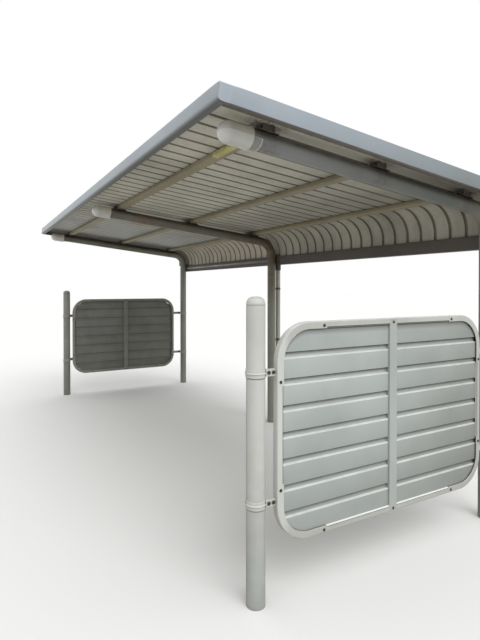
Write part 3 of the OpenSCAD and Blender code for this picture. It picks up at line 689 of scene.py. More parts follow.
def trim_material():
    roof = bpy.context.scene.shelter_roof

    def stain(n, shade):
        """Painted shade towards the gutter and underneath, and a painted highlight along the top of the
        near corner.
        """
        # Painted shade towards the gutter
        shade = n.tinted(shade, n.ranged(n.axes["Y"], -0.8, 0.5, 0.0, 0.66), "trim_shade")
        top = roof.lift + roof.trim_rise
        # Painted highlight along the top of the near corner
        corner = n.near(slope_point(roof.edge, roof.corner_length / 2 - roof.reach, top), 0.09)
        shade = n.tinted(shade, n.times(n.ranged(n.rise, top - 0.006, top - 0.003), corner), "rubbed")
        # Painted shade on faces that look down
        return n.tinted(shade, n.ranged(n.facing["Z"], -0.35, -0.85, 0.0, 0.72), "dirt")
    return finish("trim coating", "trim", rough=0.36, stain=stain, soil=(0.08, 0.0, 0.06), dust=0.25,
                  crevice=(0.02, 0.4), edge=(0.0025, 0.5, "trim_edge"), grime=0.92)


def purlin_material():
    return finish("purlin enamel", "purlin", rough=0.5, stain=lambda n, shade: crossed(n, shade, 0.17, 0.9),
                  soil=(0.30, 0.0, 0.10), crevice=(0.04, 0.7))


def sheet_material():
    def stain(n, shade):
        """Uneven pans. The underside has painted shade towards the gutter, painted cool sky light in the left
        bay, painted light at the front of the right bay, a tan left bend, a darker strip by the left arm, dirt
        and painted shade at the crossings, and darker channels under the ribs."""
        x, y = n.axes["X"], n.axes["Y"]
        uneven = n.patches((1.0, 3.0), 0.35, 0.65, 0.0, 0.35, stretch=(8.0, 0.8, 0.8))
        outside = n.tinted(shade, uneven, "pan")
        # Painted shade towards the gutter
        rear_shade = n.times(n.ranged(y, -0.7, 0.7, 0.0, 0.45), n.ranged(x, 0.9, 2.3, 1.0, 1.6))
        shade = n.tinted(outside, n.times(rear_shade, n.ranged(y, 0.74, 0.86, 1.0, 0.05)), "pan_rear")
        before_bend = n.ranged(y, 0.72, 0.84, 1.0, 0.0)
        # Painted cool sky light in the left bay
        shade = n.tinted(shade, n.times(n.ranged(x, -0.3, -1.4, 0.0, 0.8), before_bend), "pan_cool")
        # Painted light at the front of the right bay
        clean = n.times(n.ranged(x, -0.3, 0.3, 0.0, 0.55), n.ranged(y, -0.2, 0.4, 1.0, 0.0))
        shade = n.tinted(shade, clean, "pan_clean")
        left_bend = n.times(n.ranged(x, 0.1, -0.1, 0.0, 0.6), n.ranged(y, 0.80, 0.88))
        shade = n.tinted(shade, left_bend, "pan_bend")
        # Darker strip beside and past the left arm, and dirt and painted shade at the crossings
        by_arm = n.times(n.ranged(x, 0.42 - BAY, 0.08 - BAY, 0.0, 0.85), before_bend)
        past_arm = n.maths("MAXIMUM", by_arm, n.ranged(x, 0.12 - BAY, 0.02 - BAY, 0.0, 0.85))
        shade = crossed(n, n.tinted(shade, past_arm, "dirt"), 0.15, 0.75)
        inside = n.ranged(n.plus(n.facing["Y"], n.facing["Z"]), 0.1, -0.1)
        shade = n.blended(inside, outside, shade)
        # Darker open channels under the ribs
        channel = n.times(n.attribute("groove"), n.patches((14.0, 5.0, 0.6), 0.2, 0.8, 0.75, 1.0))
        return n.tinted(shade, channel, "groove")
    return finish("roof sheet coating", "sheet", rough=0.5, stain=stain, soil=(0.25, 0.18, 0.08),
                  crevice=(0.04, 0.5), dust=0.3)


def panel_material():
    outline = PanelOutline(bpy.context.scene.shelter_panel)

    def stain(n, shade):
        """Painted light on the frame by the front post, and a painted highlight where a lip looks up."""
        # Painted light by the front post
        by_post = n.ranged(n.axes["Y"], outline.low.x + 0.07, outline.low.x + 0.03, 0.0, 0.75)
        shade = n.tinted(shade, by_post, "rim_clean")
        # Painted highlight where a lip looks up
        return n.tinted(shade, n.ranged(n.facing["Z"], 0.55, 0.85, 0.0, 0.95), "fold", 1.12)
    return finish("panel enamel", "panel", rough=0.40, stain=stain, soil=(0.12, 0.05, 0.08), dust=0.0,
                  crevice=(0.025, 0.75), edge=(0.0025, 0.40, "panel_edge"), grime=0.6)


def board_material():
    panel = bpy.context.scene.shelter_panel
    outline = PanelOutline(panel)

    def rim_height(n):
        """Height of the frame's inner edge above a point, which follows its rounded corners."""
        straight = outline.high.x - outline.middle - outline.corner
        in_arc = n.maths("MAXIMUM", n.minus(n.apart(n.axes["Y"], outline.middle), straight), 0.0)
        left = n.minus((outline.corner - panel.flange_between) ** 2, n.squared(in_arc))
        return n.plus(n.maths("SQRT", n.maths("MAXIMUM", left, 0.0)), outline.high.y - outline.corner)

    def stain(n, shade):
        """Painted shade, partly grime, low down and to the rear, painted shadow under the rim and in the
        hollow under each board's lower edge, and a painted highlight on the fold below it."""
        z, first = n.axes["Z"], outline.edges[-1]
        # Painted shade, partly grime, low down and to the rear
        low_shade_and_grime = n.ranged(z, 1.0, outline.low.y, 0.0, 0.26)
        rear_shade = n.ranged(n.axes["Y"], outline.middle - 0.2, outline.high.x, 0.0, 0.40)
        for choice in ("MAXIMUM", "MINIMUM"):
            shade = n.tinted(shade, n.maths(choice, low_shade_and_grime, rear_shade), "grime")
        # Painted shadow under the rim
        under_rim = n.minus(rim_height(n), z)
        shade = n.tinted(shade, n.ranged(under_rim, 0.038, 0.010, 0.0, 0.55), "dirt")
        shade = n.tinted(shade, n.ranged(under_rim, 0.0105, 0.0075, 0.0, 0.8), "dirt", 0.7)
        # Painted shadow in the hollow under each board's lower edge
        boards_down = n.maths("DIVIDE", n.minus(first, z), outline.pitch)
        below = n.times(n.maths("FRACT", boards_down), outline.pitch)
        in_rows = n.ranged(z, first + 0.004, first + 0.002)
        broken = n.times(n.patches((16.0, 5.0, 0.6), 0.25, 0.7, 0.6, 1.0), in_rows)
        shade = n.tinted(shade, n.times(n.ranged(below, 0.020, 0.002, 0.0, 0.9), broken), "dirt", 0.7)
        # Painted highlight on the fold below each hollow
        fold_highlight = n.ranged(n.apart(below, panel.gap + panel.ramp - 0.0015), 0.0045, 0.0025, 0.0, 0.9)
        return n.tinted(shade, n.times(fold_highlight, broken), "fold")
    return finish("board coating", "board", rough=0.42, stain=stain, soil=(0.10, 0.0, 0.06), dust=0.05,
                  crevice=(0.030, 0.95), grime=0.67)


def cap_material():
    def stain(n, shade):
        """Painted light on the tip, and an upper half behind the dome darkened by dirt and painted shade."""
        behind = n.minus(n.along, CAP_TIP)
        # Painted light on the tip
        shade = n.tinted(shade, n.ranged(behind, 0.055, 0.005), "cap_tip")
        # Dirt and painted shade on the upper half
        past_dome = n.ranged(behind, 0.030, 0.060, 0.0, 0.95, smooth=True)
        upper = n.times(n.ranged(n.rise, -0.004, -0.002), past_dome)
        return n.blended(upper, shade, n.blended(n.noise(9.0, 5.0), tone("cap_old"), tone("cap_bleached")))
    return finish("cap plastic", "cap", rough=0.25, coat=0.6, grain=(120.0, 0.00005, 0.1), stain=stain,
                  soil=(0.10, 0.06, 0.10), crevice=(0.02, 0.5), dust=0.0, edge=(0.002, 0.7, "cap_edge"))


def strap_material():
    def stain(n, shade):
        """Film on the far straps, and a bright bead on the near one."""
        x = n.axes["X"]
        shade = n.tinted(shade, n.ranged(x, BAY - 0.5, BAY - 1.0, 0.0, 0.85), "strap_old")
        broken = n.patches((130.0, 2.0), 0.42, 0.55, 0.25, 1.0)
        bright = n.times(n.ranged(x, BAY - 1.0, BAY - 0.5), n.attribute("bead"), broken)
        return n.tinted(shade, bright, "strap_bead")
    return finish("strap steel", "strap", rough=0.4, stain=stain, soil=(0.15, 0.0, 0.10), dust=0.0)


def tape_material():
    def stain(n, shade):
        """Threads along the tape, some worn light and some dirty."""
        threads = n.noise(1.0, 4.0, 0.7, stretch=(120.0, 60.0, 60.0))
        shade = n.tinted(shade, n.ranged(threads, 0.55, 0.68), "tape_worn")
        return n.tinted(shade, n.ranged(threads, 0.46, 0.34), "tape_dirt")
    return finish("tape", "tape", rough=0.55, stain=stain, soil=(0.45, 0.0, 0.20), crevice=(0.02, 0.3),
                  grain=(90.0, 0.0004, 0.1))


def zinc_material():
    def stain(n, shade):
        """Crystals of the zinc coat."""
        spangle = n.place("ShaderNodeTexVoronoi", {"Vector": n.spot, "Scale": 150.0}).outputs["Color"]
        return n.tinted(shade, n.ranged(n.parts(spangle)["X"], 0.0, 1.0, 0.0, 0.6), "spangle")
    return finish("zinc", "zinc", metallic=0.6, stain=stain, grain=(150.0, 0.0001, 0.2))


# Painted shadow line under the band, and painted highlights on its edges
def clamp_material():
    return finish("clamp enamel", "front_post", rough=0.30, soil=(0.10, 0.0, 0.08), dust=0.0,
                  crevice=(0.012, 1.0), edge=(0.003, 0.5, "clamp_edge"), grime=0.6)


def bar_material():
    return finish("bar enamel", "panel_bar", rough=0.40, soil=(0.10, 0.05, 0.08), dust=0.0,
                  crevice=(0.02, 0.8), edge=(0.002, 0.25, "bar_edge"), grime=0.6)


def bracket_material():
    return finish("bracket enamel", "bracket", rough=0.55, soil=(0.60, 0.0, 0.20), scale=30.0, dust=0.1)


def pipe_material():
    return finish("pipe plastic", "pipe", rough=0.5, soil=(0.30, 0.30, 0.08), crevice=(0.05, 0.6),
                  grain=(200.0, 0.00006, 0.1))


def plug_material():
    return finish("tube end plug", "plug", rough=0.7, soil=(0.6, 0.0, 0.2), scale=30.0, dust=0.1)


def bolt_material():
    return finish("bolt steel", "bolt", rough=0.5, metallic=0.3, soil=(0.3, 0.0, 0.2),
                  edge=(0.001, 0.4, "bolt_edge"))


# Pieces

class SHELTER_OT_stage(bpy.types.Operator):
    """Floor, light, world and camera"""
    bl_idname = "shelter.stage"
    bl_label = "Stage"

    def execute(self, context):
        self.floor(context)
        self.light(context)
        self.camera(context)
        context.scene.view_settings.view_transform = "Standard"
        return {"FINISHED"}

    def floor(self, context):
        bm = bmesh.new()
        bmesh.ops.create_grid(bm, x_segments=1, y_segments=1, size=60)
        mesh = bpy.data.meshes.new("floor")
        bm.to_mesh(mesh)
        bm.free()
        ground = bpy.data.objects.new("floor", mesh)
        context.scene.collection.objects.link(ground)
        pale = bpy.data.materials.new("floor")
        pale.use_nodes = True
        n, shader = Nodes(pale.node_tree), pale.node_tree.nodes["Principled BSDF"]
        shader.inputs["Roughness"].default_value = 0.9
        shader.inputs["Specular IOR Level"].default_value = 0.1
        seen = n.place("ShaderNodeLightPath").outputs["Is Camera Ray"]
        n.tree.links.new(n.blended(seen, tone("floor_light"), tone("floor")), shader.inputs["Base Color"])
        mesh.materials.append(pale)

    def light(self, context):
        """One soft sun, and a sky that lights more from above but shows plain white."""
        horizon, zenith = 0.12, 1.38
        world = bpy.data.worlds.new("sky")
        context.scene.world = world
        world.use_nodes = True
        n, shader = Nodes(world.node_tree), world.node_tree.nodes["Background"]
        upward = n.parts(n.place("ShaderNodeTexCoord").outputs["Generated"])["Z"]
        rays = n.place("ShaderNodeLightPath").outputs
        mirrored = n.maths("MAXIMUM", rays["Is Glossy Ray"], rays["Is Transmission Ray"])
        strength = n.place("ShaderNodeMix", {0: n.maths("MAXIMUM", rays["Is Camera Ray"], mirrored),
                                             2: n.ranged(upward, 0.0, 1.0, horizon, zenith), 3: 1.0},
                           data_type="FLOAT")
        n.tree.links.new(strength.outputs[0], shader.inputs["Strength"])
        shader.inputs["Color"].default_value = (1, 1, 1, 1)
        sun = bpy.data.lights.new("soft sun", "SUN")
        sun.energy, sun.angle = 1.45, math.radians(50)
        lamp = bpy.data.objects.new("soft sun", sun)
        context.scene.collection.objects.link(lamp)
        lamp.rotation_euler = (math.radians(48), 0, math.radians(88))

    def camera(self, context):
        """The photograph's viewpoint, placed from the right front post."""
        lens = bpy.data.cameras.new("camera")
        lens.sensor_fit, lens.sensor_height = "VERTICAL", 36
        lens.lens = 26.778
        lens.shift_y = -0.0438
        eye = bpy.data.objects.new("camera", lens)
        context.scene.collection.objects.link(eye)
        eye.location = (BAY + 1.8686, FRONT_POST_Y - 1.1381, 1.4654)
        eye.rotation_euler = (math.radians(89.4808), 0, math.radians(60.5575))
        context.scene.camera = eye


def roof_path(roof, front_s, end_z, steps=16):
    """Stations along the underside of the roof sheet, each a point in Y and Z with its normal."""
    turn_y = roof.back - roof.bend
    turn_z = ARM_H + (roof.lift - roof.bend - turn_y * math.sin(SLOPE)) / math.cos(SLOPE)
    first = math.pi / 2 - SLOPE
    start, normal = slope_point(0, front_s, roof.lift), Vector((math.cos(first), math.sin(first)))
    path = [(Vector((start.y, start.z)), normal)]
    for k in range(steps + 1):
        angle = first * (1 - k / steps)
        normal = Vector((math.cos(angle), math.sin(angle)))
        path.append((Vector((POST_Y + turn_y, turn_z)) + normal * roof.bend, normal))
    path.append((Vector((POST_Y + roof.back, end_z)), Vector((1.0, 0.0))))
    return path


def over_roof(path, section):
    """Rings of a section, drawn as X and rise above the sheet's underside, along a path over the roof."""
    return [[Vector((p.x, at.x + normal.x * p.y, at.y + normal.y * p.y)) for p in section]
            for at, normal in path]


class SHELTER_OT_roof(bpy.types.Operator):
    """Ribbed roof sheets with their rear bend"""
    bl_idname = "shelter.roof"
    bl_label = "Roof sheets"

    def execute(self, context):
        roof = context.scene.shelter_roof
        path = roof_path(roof, roof.front_lip + 0.002 - roof.reach, roof.gutter_top - roof.sheet_dip)
        foot, crown, high = roof.rib_foot / 2, roof.rib_crown / 2, roof.rib_rise
        last = roof.edge - roof.side_lip - foot - 0.005
        line = [Vector((0.0, 0.0))]
        for k in range(int(last / roof.rib_pitch + 0.5)):
            x = (k + 0.5) * roof.rib_pitch
            line += flat([(x - foot, 0), (x - crown, high), (x + crown, high), (x + foot, 0)])
        line.append(Vector((roof.edge - roof.trim_metal - 0.0005, 0.0)))
        line = fillet(line, 0.003, 2)
        section = metal(line, roof.sheet)
        in_rib = [1.0 if i < len(line) and p.y > high / 10 else 0.0 for i, p in enumerate(section)]
        for word, side in SIDES.items():
            bm = bmesh.new()
            skin(bm, over_roof(path, [Vector((side * p.x, p.y)) for p in section]), strip=True)
            piece(word + "_roof_ribbed_sheet", bm, sheet_material(), [word + "_roof_sheet"],
                  attribute=("groove", in_rib * len(path)))
        return {"FINISHED"}


def trim_line(roof):
    """Front trim from the edge of its top lip to the hem under it, as distances from the front and
    heights."""
    top, low, hem = roof.lift + roof.trim_rise, roof.lift - roof.trim_drop, 0.007
    line = flat([(roof.front_lip, top), (0.0, top), (0.0, low), (roof.trim_depth, low),
                 (roof.trim_depth, low + hem)])
    return fillet(line, [0, 0.0025, roof.trim_round, 0.0015, 0], 7)


class SHELTER_OT_trims(bpy.types.Operator):
    """Trims along the front and the sides of the roof, with the rounded corner caps"""
    bl_idname = "shelter.trims"
    bl_label = "Roof trims"

    def execute(self, context):
        roof = context.scene.shelter_roof
        for word, side in SIDES.items():
            self.front(roof, word, side)
            self.side(roof, word, side)
        self.corners(roof)
        return {"FINISHED"}

    def front(self, roof, word, side):
        def at(x, u, h):
            return slope_point(x, u - roof.reach, h)
        bm = bmesh.new()
        ends = (side * 0.0006, side * (roof.edge - roof.corner_width))
        along_x(bm, metal(trim_line(roof), roof.trim_metal), ends, at)
        under = roof.lift - roof.trim_metal
        seat = flat([(roof.trim_metal, under), (roof.trim_depth, under)])
        along_x(bm, metal(seat, roof.trim_metal), ends, at)
        piece(word + "_front_channel", bm, trim_material(), [word + "_front_trim"])

    def side(self, roof, word, side):
        path = roof_path(roof, roof.corner_length - roof.reach, roof.gutter_top)
        high, low, edge, hem = roof.trim_rise, -roof.trim_drop, roof.edge, 0.006
        lip = edge - roof.side_lip
        line = flat([(lip, high - hem), (lip, high), (edge, high), (edge, low), (lip, low), (lip, low + hem)])
        channel = metal(fillet(line, [0, 0.002, 0.003, 0.0018, 0.002, 0], 4), -roof.trim_metal)
        seat = flat([(lip, -roof.trim_metal), (edge - roof.trim_metal, -roof.trim_metal)])
        bm = bmesh.new()
        for section in (channel, metal(seat, roof.trim_metal)):
            skin(bm, over_roof(path, [Vector((side * p.x, p.y)) for p in section]), strip=True)
        piece(word + "_side_channel", bm, trim_material(), [word + "_side_trim"])

    def corners(self, roof):
        """Thin shells round the roof's front corners, closed above and below."""
        bm = bmesh.new()
        inside = roof.edge - roof.corner_width
        plan = flat([(inside, 0.0), (roof.edge, 0.0), (roof.edge, roof.corner_length)])
        plan = fillet(plan, roof.corner_round, 8)
        levels = [p for p in trim_line(roof) if p.x < roof.trim_round + 0.0001][1:]
        for side in SIDES.values():
            def at(x, u, h):
                return slope_point(side * x, u - roof.reach, h)
            rings = []
            for level in levels:
                inset = min(level.x, roof.trim_metal) if level.y > roof.lift else 0.0
                rings.append([at(min(p.x, roof.edge - inset), max(p.y, level.x), level.y) for p in plan])
            for end in (0, -1):
                lid = rings[end] + [at(inside, roof.corner_length, levels[end].y)]
                bm.faces.new([bm.verts.new(p) for p in lid])
            rows = [[bm.verts.new(p) for p in ring] for ring in rings]
            for a, b in zip(rows, rows[1:]):
                for i in range(len(a) - 1):
                    bm.faces.new((a[i], a[i + 1], b[i + 1], b[i]))
        bmesh.ops.remove_doubles(bm, verts=bm.verts, dist=0.00001)
        made = piece("roof_corner_shells", bm, trim_material(), ["roof_corner_caps"])
        thick = made.modifiers.new("thickness", "SOLIDIFY")
        thick.thickness, thick.offset, thick.use_even_offset = roof.trim_metal, -1, True
        crisp = made.modifiers.new("crisp edges", "EDGE_SPLIT")
        crisp.split_angle = math.radians(35)


class SHELTER_OT_frame(bpy.types.Operator):
    """Posts, arms and box-section purlins"""
    bl_idname = "shelter.frame"
    bl_label = "Posts, arms and purlins"

    def execute(self, context):
        posts = [word + "_post_and_arm" for word in POST_X]
        dress(enamel_material(), "painted_steel", *posts)
        dress(front_post_material(), "painted_steel", *[word + "_front_post" for word in SIDES])
        dress(bracket_material(), "dark_steel", *[word + "_purlin_brackets" for word in POST_X])
        plugs = bmesh.new()
        for word in SIDES:
            for row in ("front", "middle", "rear"):
                self.purlin(context.scene.shelter_roof, f"{word}_{row}_purlin", plugs)
        piece("purlin_end_plugs", plugs, plug_material())
        return {"FINISHED"}

    def purlin(self, roof, node, plugs):
        low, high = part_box(node)
        s = (Vector((0, *middle_of(node).yz)) - Vector((0, POST_Y, ARM_H))).dot(ALONG)
        w, h, wall = roof.purlin_width / 2, roof.purlin_height, roof.purlin_wall

        def at(x, u, v):
            return slope_point(x, s + u, TUBE_R + v)
        outer = flat([(-w, 0), (w, 0), (w, h), (-w, h)])
        hole = [p + Vector((math.copysign(wall, -p.x), wall if p.y < h / 2 else -wall)) for p in outer]
        outer = fillet(outer, roof.purlin_round, 5, closed=True)
        hole = fillet(hole, roof.purlin_round - wall, 5, closed=True)
        bm = bmesh.new()
        stations = ((low.x, outer), (high.x, outer), (high.x, hole), (low.x, hole))
        skin(bm, [[at(x, p.x, p.y) for p in ring] for x, ring in stations], looped=True)
        piece(node + "_tube", bm, purlin_material(), [node])
        plug = [p.lerp(Vector((0, h / 2)), 0.02) for p in hole]
        for x, inward in ((low.x, 1), (high.x, -1)):
            skin(plugs, [[at(x + inward * depth, p.x, p.y) for p in plug] for depth in (0.004, 0.012)])


class SHELTER_OT_caps(bpy.types.Operator):
    """Plastic caps on the arms' ends, with the straps behind them"""
    bl_idname = "shelter.caps"
    bl_label = "Arm caps and straps"

    def execute(self, context):
        roof = context.scene.shelter_roof
        bm, bead = bmesh.new(), []
        for word, x in POST_X.items():
            self.cap(roof, word, x)
            self.strap(roof, bm, x, bead)
        piece("arm_straps", bm, strap_material(), ["arm_collars"], attribute=("bead", bead))
        return {"FINISHED"}

    def cap(self, roof, word, x):
        """Bore, rolled rim and dome, in two moulded halves that meet in a ridge on each side."""
        length, radius, dome = CAP_RIM - CAP_TIP, roof.cap_radius, roof.cap_dome
        neck, rim, ridge_rise, ridge_half, slant = 0.0022, 0.0080, 0.0014, 0.9, 0.7
        profile = [(0.0, TUBE_R + 0.0008), (0.0, radius - 0.0012), (0.0010, radius), (0.0062, radius),
                   (0.0074, radius - 0.0010), (rim, radius - neck), (0.030, radius - neck)]
        for t in (math.pi / 2 * k / 12 for k in range(13)):
            blunt = max(math.cos(t), 0.012) ** 0.90
            profile.append((length - dome + dome * math.sin(t), (radius - 0.0024) * blunt))
        turns = [*range(0, 360, 6)] + [a + b for a in (0, 180) for b in (-3.0, -1.6, -0.9, 0.9, 1.6, 3.0)]
        rings = []
        for i, (along, r) in enumerate(profile):
            past_rim = along > rim - 0.0002
            ridged = past_rim and along < length - 0.012
            ring = []
            for t in map(math.radians, sorted(turns)):
                from_seam = abs(math.degrees(math.atan2(math.sin(2 * t), math.cos(2 * t)))) / 2
                share = max(0.0, 1 - max(from_seam - ridge_half, 0.0) / slant) if ridged else 0.0
                upper = 0.985 if math.sin(t) > 0.001 and past_rim else 1.0
                reach = r * upper + ridge_rise * share
                drop = roof.cap_drop if i else 0.0
                ring.append(slope_point(x + reach * math.cos(t), CAP_RIM - along, reach * math.sin(t) - drop))
            rings.append(ring)
        bm = bmesh.new()
        skin(bm, rings)
        piece(word + "_arm_dome", bm, cap_material(), [word + "_arm_cap"])

    def strap(self, roof, bm, x, bead):
        """Band round the lower half of the arm, with a bead along its rear edge and at both ends."""
        width, inner, outer, proud = roof.strap_width, TUBE_R + 0.0003, TUBE_R + 0.0018, 0.0018
        line = flat([(0, outer), (width - 0.007, outer), (width - 0.005, outer + proud),
                     (width - 0.001, outer + proud), (width, outer)])
        section = line + [Vector((p.x, inner)) for p in line[::-1]]
        half = math.radians(84)
        turns = [-half, 0.08 - half] + [half * (k / 18 - 1) for k in range(2, 35)] + [half - 0.08, half]
        skin(bm, [[slope_point(x + p.y * math.sin(t), CAP_RIM + p.x, -p.y * math.cos(t)) for p in section]
                  for t in turns], strip=True)
        for t in turns:
            bead += [1.0 if i in (2, 3) or abs(t) > half - 0.05 else 0.0 for i in range(len(section))]


class SHELTER_OT_gutter(bpy.types.Operator):
    """Gutter with its rolled rims, and the downpipe"""
    bl_idname = "shelter.gutter"
    bl_label = "Gutter and downpipe"

    def execute(self, context):
        for word in SIDES:
            self.trough(context.scene.shelter_roof, word)
        dress(gutter_material(), "dark_steel", "gutter_joiner", "gutter_end_caps", "gutter_plates",
              "gutter_outlet", "pipe_clips")
        dress(pipe_material(), "pipe_plastic", "downpipe")
        return {"FINISHED"}

    def trough(self, roof, word):
        low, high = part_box(word + "_gutter")
        front, back, fold, roll = low.y, high.y, 0.010, 0.0035
        line = flat([(POST_Y + roof.back - 0.001, high.z - 0.002), (front, high.z - 0.002), (front, low.z),
                     (back, low.z), (back, high.z), (back - fold, high.z), (back - fold, high.z - 0.006)])
        line = fillet(line, [0, 0.002, 0.005, 0.005, 0.002, 0.002, 0], 4)
        bm = bmesh.new()
        along_x(bm, metal(line, roof.gutter_metal), (low.x, high.x), lambda x, u, v: Vector((x, u, v)))
        turns = [2 * math.pi * k / 12 for k in range(12)]
        skin(bm, [[Vector((x, front - 0.0005 + roll * math.cos(t), high.z - 0.004 + roll * math.sin(t)))
                   for t in turns] for x in (low.x, high.x)])
        piece(word + "_gutter_trough", bm, gutter_material(), [word + "_gutter"])


class PanelOutline:
    """The round-cornered outline of an end panel, in Y and Z."""

    def __init__(self, panel):
        low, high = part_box("right_panel_frame")
        self.low, self.high, self.corner = Vector((low.y, low.z)), Vector((high.y, high.z)), panel.corner
        self.face = high.x
        self.middle = (low.y + high.y) / 2
        self.pitch = (high.z - low.z - panel.foot - panel.head) / (panel.boards - 2)
        self.edges = [low.z + panel.foot + i * self.pitch for i in range(panel.boards - 1)]

    def arcs(self, steps=14):
        """The four corners, each as points along the outline with their outward normals."""
        inward, made = Vector((self.corner, self.corner)), []
        high, low = self.high - inward, self.low + inward
        for i, (y, z) in enumerate(((high.x, high.y), (low.x, high.y), (low.x, low.y), (high.x, low.y))):
            turns = [math.radians(90 * (i + k / steps)) for k in range(steps + 1)]
            normals = [Vector((math.cos(t), math.sin(t))) for t in turns]
            made.append([(Vector((y, z)) + normal * self.corner, normal) for normal in normals])
        return made

    def limits(self, z, inset):
        """Lowest and highest Y inside the outline at a height."""
        r = self.corner - inset
        depth = max(self.low.y + self.corner - z, z - self.high.y + self.corner, 0.0)
        cut = self.corner - math.sqrt(max(r * r - min(depth, r) ** 2, 0.0))
        return self.low.x + cut, self.high.x - cut


class SHELTER_OT_panels(bpy.types.Operator):
    """End panels: rolled frame, stepped boards and upright bar"""
    bl_idname = "shelter.panels"
    bl_label = "End panels"

    def execute(self, context):
        panel = context.scene.shelter_panel
        outline = PanelOutline(panel)
        for word, side in SIDES.items():
            def at(depth, y, z):
                return Vector((side * (outline.face - depth), y, z))
            self.rim(panel, outline, word, at)
            self.board_sheet(panel, outline, word, at)
            self.bar(panel, outline, word, at)
        return {"FINISHED"}

    def rim(self, panel, outline, word, at):
        """Channel all round, narrower between its corner pieces, where it has lips along its inner edges."""
        depth, wall = panel.depth, panel.metal

        def channel(flange):
            line = flat([(flange, 0), (0, 0), (0, depth), (flange, depth)])
            return metal(fillet(line, [0, 0.006, 0.006, 0], 5), -wall)
        wide, narrow = channel(panel.flange), channel(panel.flange_between)
        stops = []
        for arc in outline.arcs():
            legs = []
            for (spot, normal), way in ((arc[0], -1), (arc[-1], 1)):
                onward = Vector((-normal.y, normal.x)) * way
                legs.append([(spot + onward * (panel.corner_leg + past), normal, section)
                             for past, section in ((0.0002, narrow), (0.0, wide))])
            stops += legs[0] + [(*station, wide) for station in arc] + legs[1][::-1]
        bm = bmesh.new()
        skin(bm, [[at(p.y, spot.x - normal.x * p.x, spot.y - normal.y * p.x) for p in section]
                  for spot, normal, section in stops], looped=True)
        for start, end in ((0.0, panel.inset - 0.0004), (depth, depth - 0.008)):
            self.lips(panel, outline, bm, at, start, end)
        piece(word + "_panel_rim", bm, panel_material(), [word + "_panel_frame"])

    def lips(self, panel, outline, bm, at, start, end):
        """Sloped lip along the inner edge of each straight side, from the frame's face to a depth."""
        wall, far = panel.metal, panel.corner + panel.corner_leg
        lip = [(start, 0.0), (end, panel.lip_rise), (end, panel.lip_rise - wall), (start, -wall)]
        lip = [(depth, panel.flange_between + rise) for depth, rise in lip]
        for low, high, turn in ((outline.low, outline.high, 1), (outline.high, outline.low, -1)):
            first, last = [corner + way * turn * Vector((far, far)) for corner, way in ((low, 1), (high, -1))]
            skin(bm, [[at(d, y, low.y + turn * up) for d, up in lip] for y in (first.x, last.x)])
            skin(bm, [[at(d, low.x + turn * up, z) for d, up in lip] for z in (first.y, last.y)])

    def board_sheet(self, panel, outline, word, at):
        """One stepped sheet on each side of the bar, cut to the rounded outline."""
        face, deep = panel.inset, panel.inset + panel.step
        back = deep + 0.0015
        line = flat([(face, outline.low.y + panel.metal)])
        for z in outline.edges:
            line += flat([(face, z - panel.gap - panel.ramp), (deep, z - panel.gap), (back, z - 0.004),
                          (back, z + 0.001), (face, z)])
        line = fillet(line + flat([(face, outline.high.y - panel.metal)]), 0.0018, 3)
        hidden = offset(line, -panel.board_metal)
        bm = bmesh.new()
        for half in (-1, 1):
            stop = outline.middle + half * panel.bar / 2
            rings = []
            for points in zip(line, hidden):
                spans = [(p, *sorted((stop, outline.limits(p.y, 0.010)[half > 0]))) for p in points]
                (front, f0, f1), (rear, r0, r1) = spans
                rings.append([at(front.x, f0, front.y), at(front.x, f1, front.y),
                              at(rear.x, r1, rear.y), at(rear.x, r0, rear.y)])
            skin(bm, rings)
        piece(word + "_panel_board_sheet", bm, board_material(), [word + "_panel_boards"],
              sharp=28)

    def bar(self, panel, outline, word, at):
        w, proud, cut = panel.bar / 2, 0.0008, 0.004
        loop = flat([(-proud, -w), (panel.depth + proud, -w), (panel.depth + proud, w), (-proud, w)])
        loop = fillet(loop, 0.0022, 3, closed=True)
        bm = bmesh.new()
        skin(bm, [[at(p.x, outline.middle + p.y, z) for p in loop]
                  for z in (outline.low.y + cut, outline.high.y - cut)])
        piece(word + "_panel_bar", bm, bar_material(), [word + "_panel_mullion"])


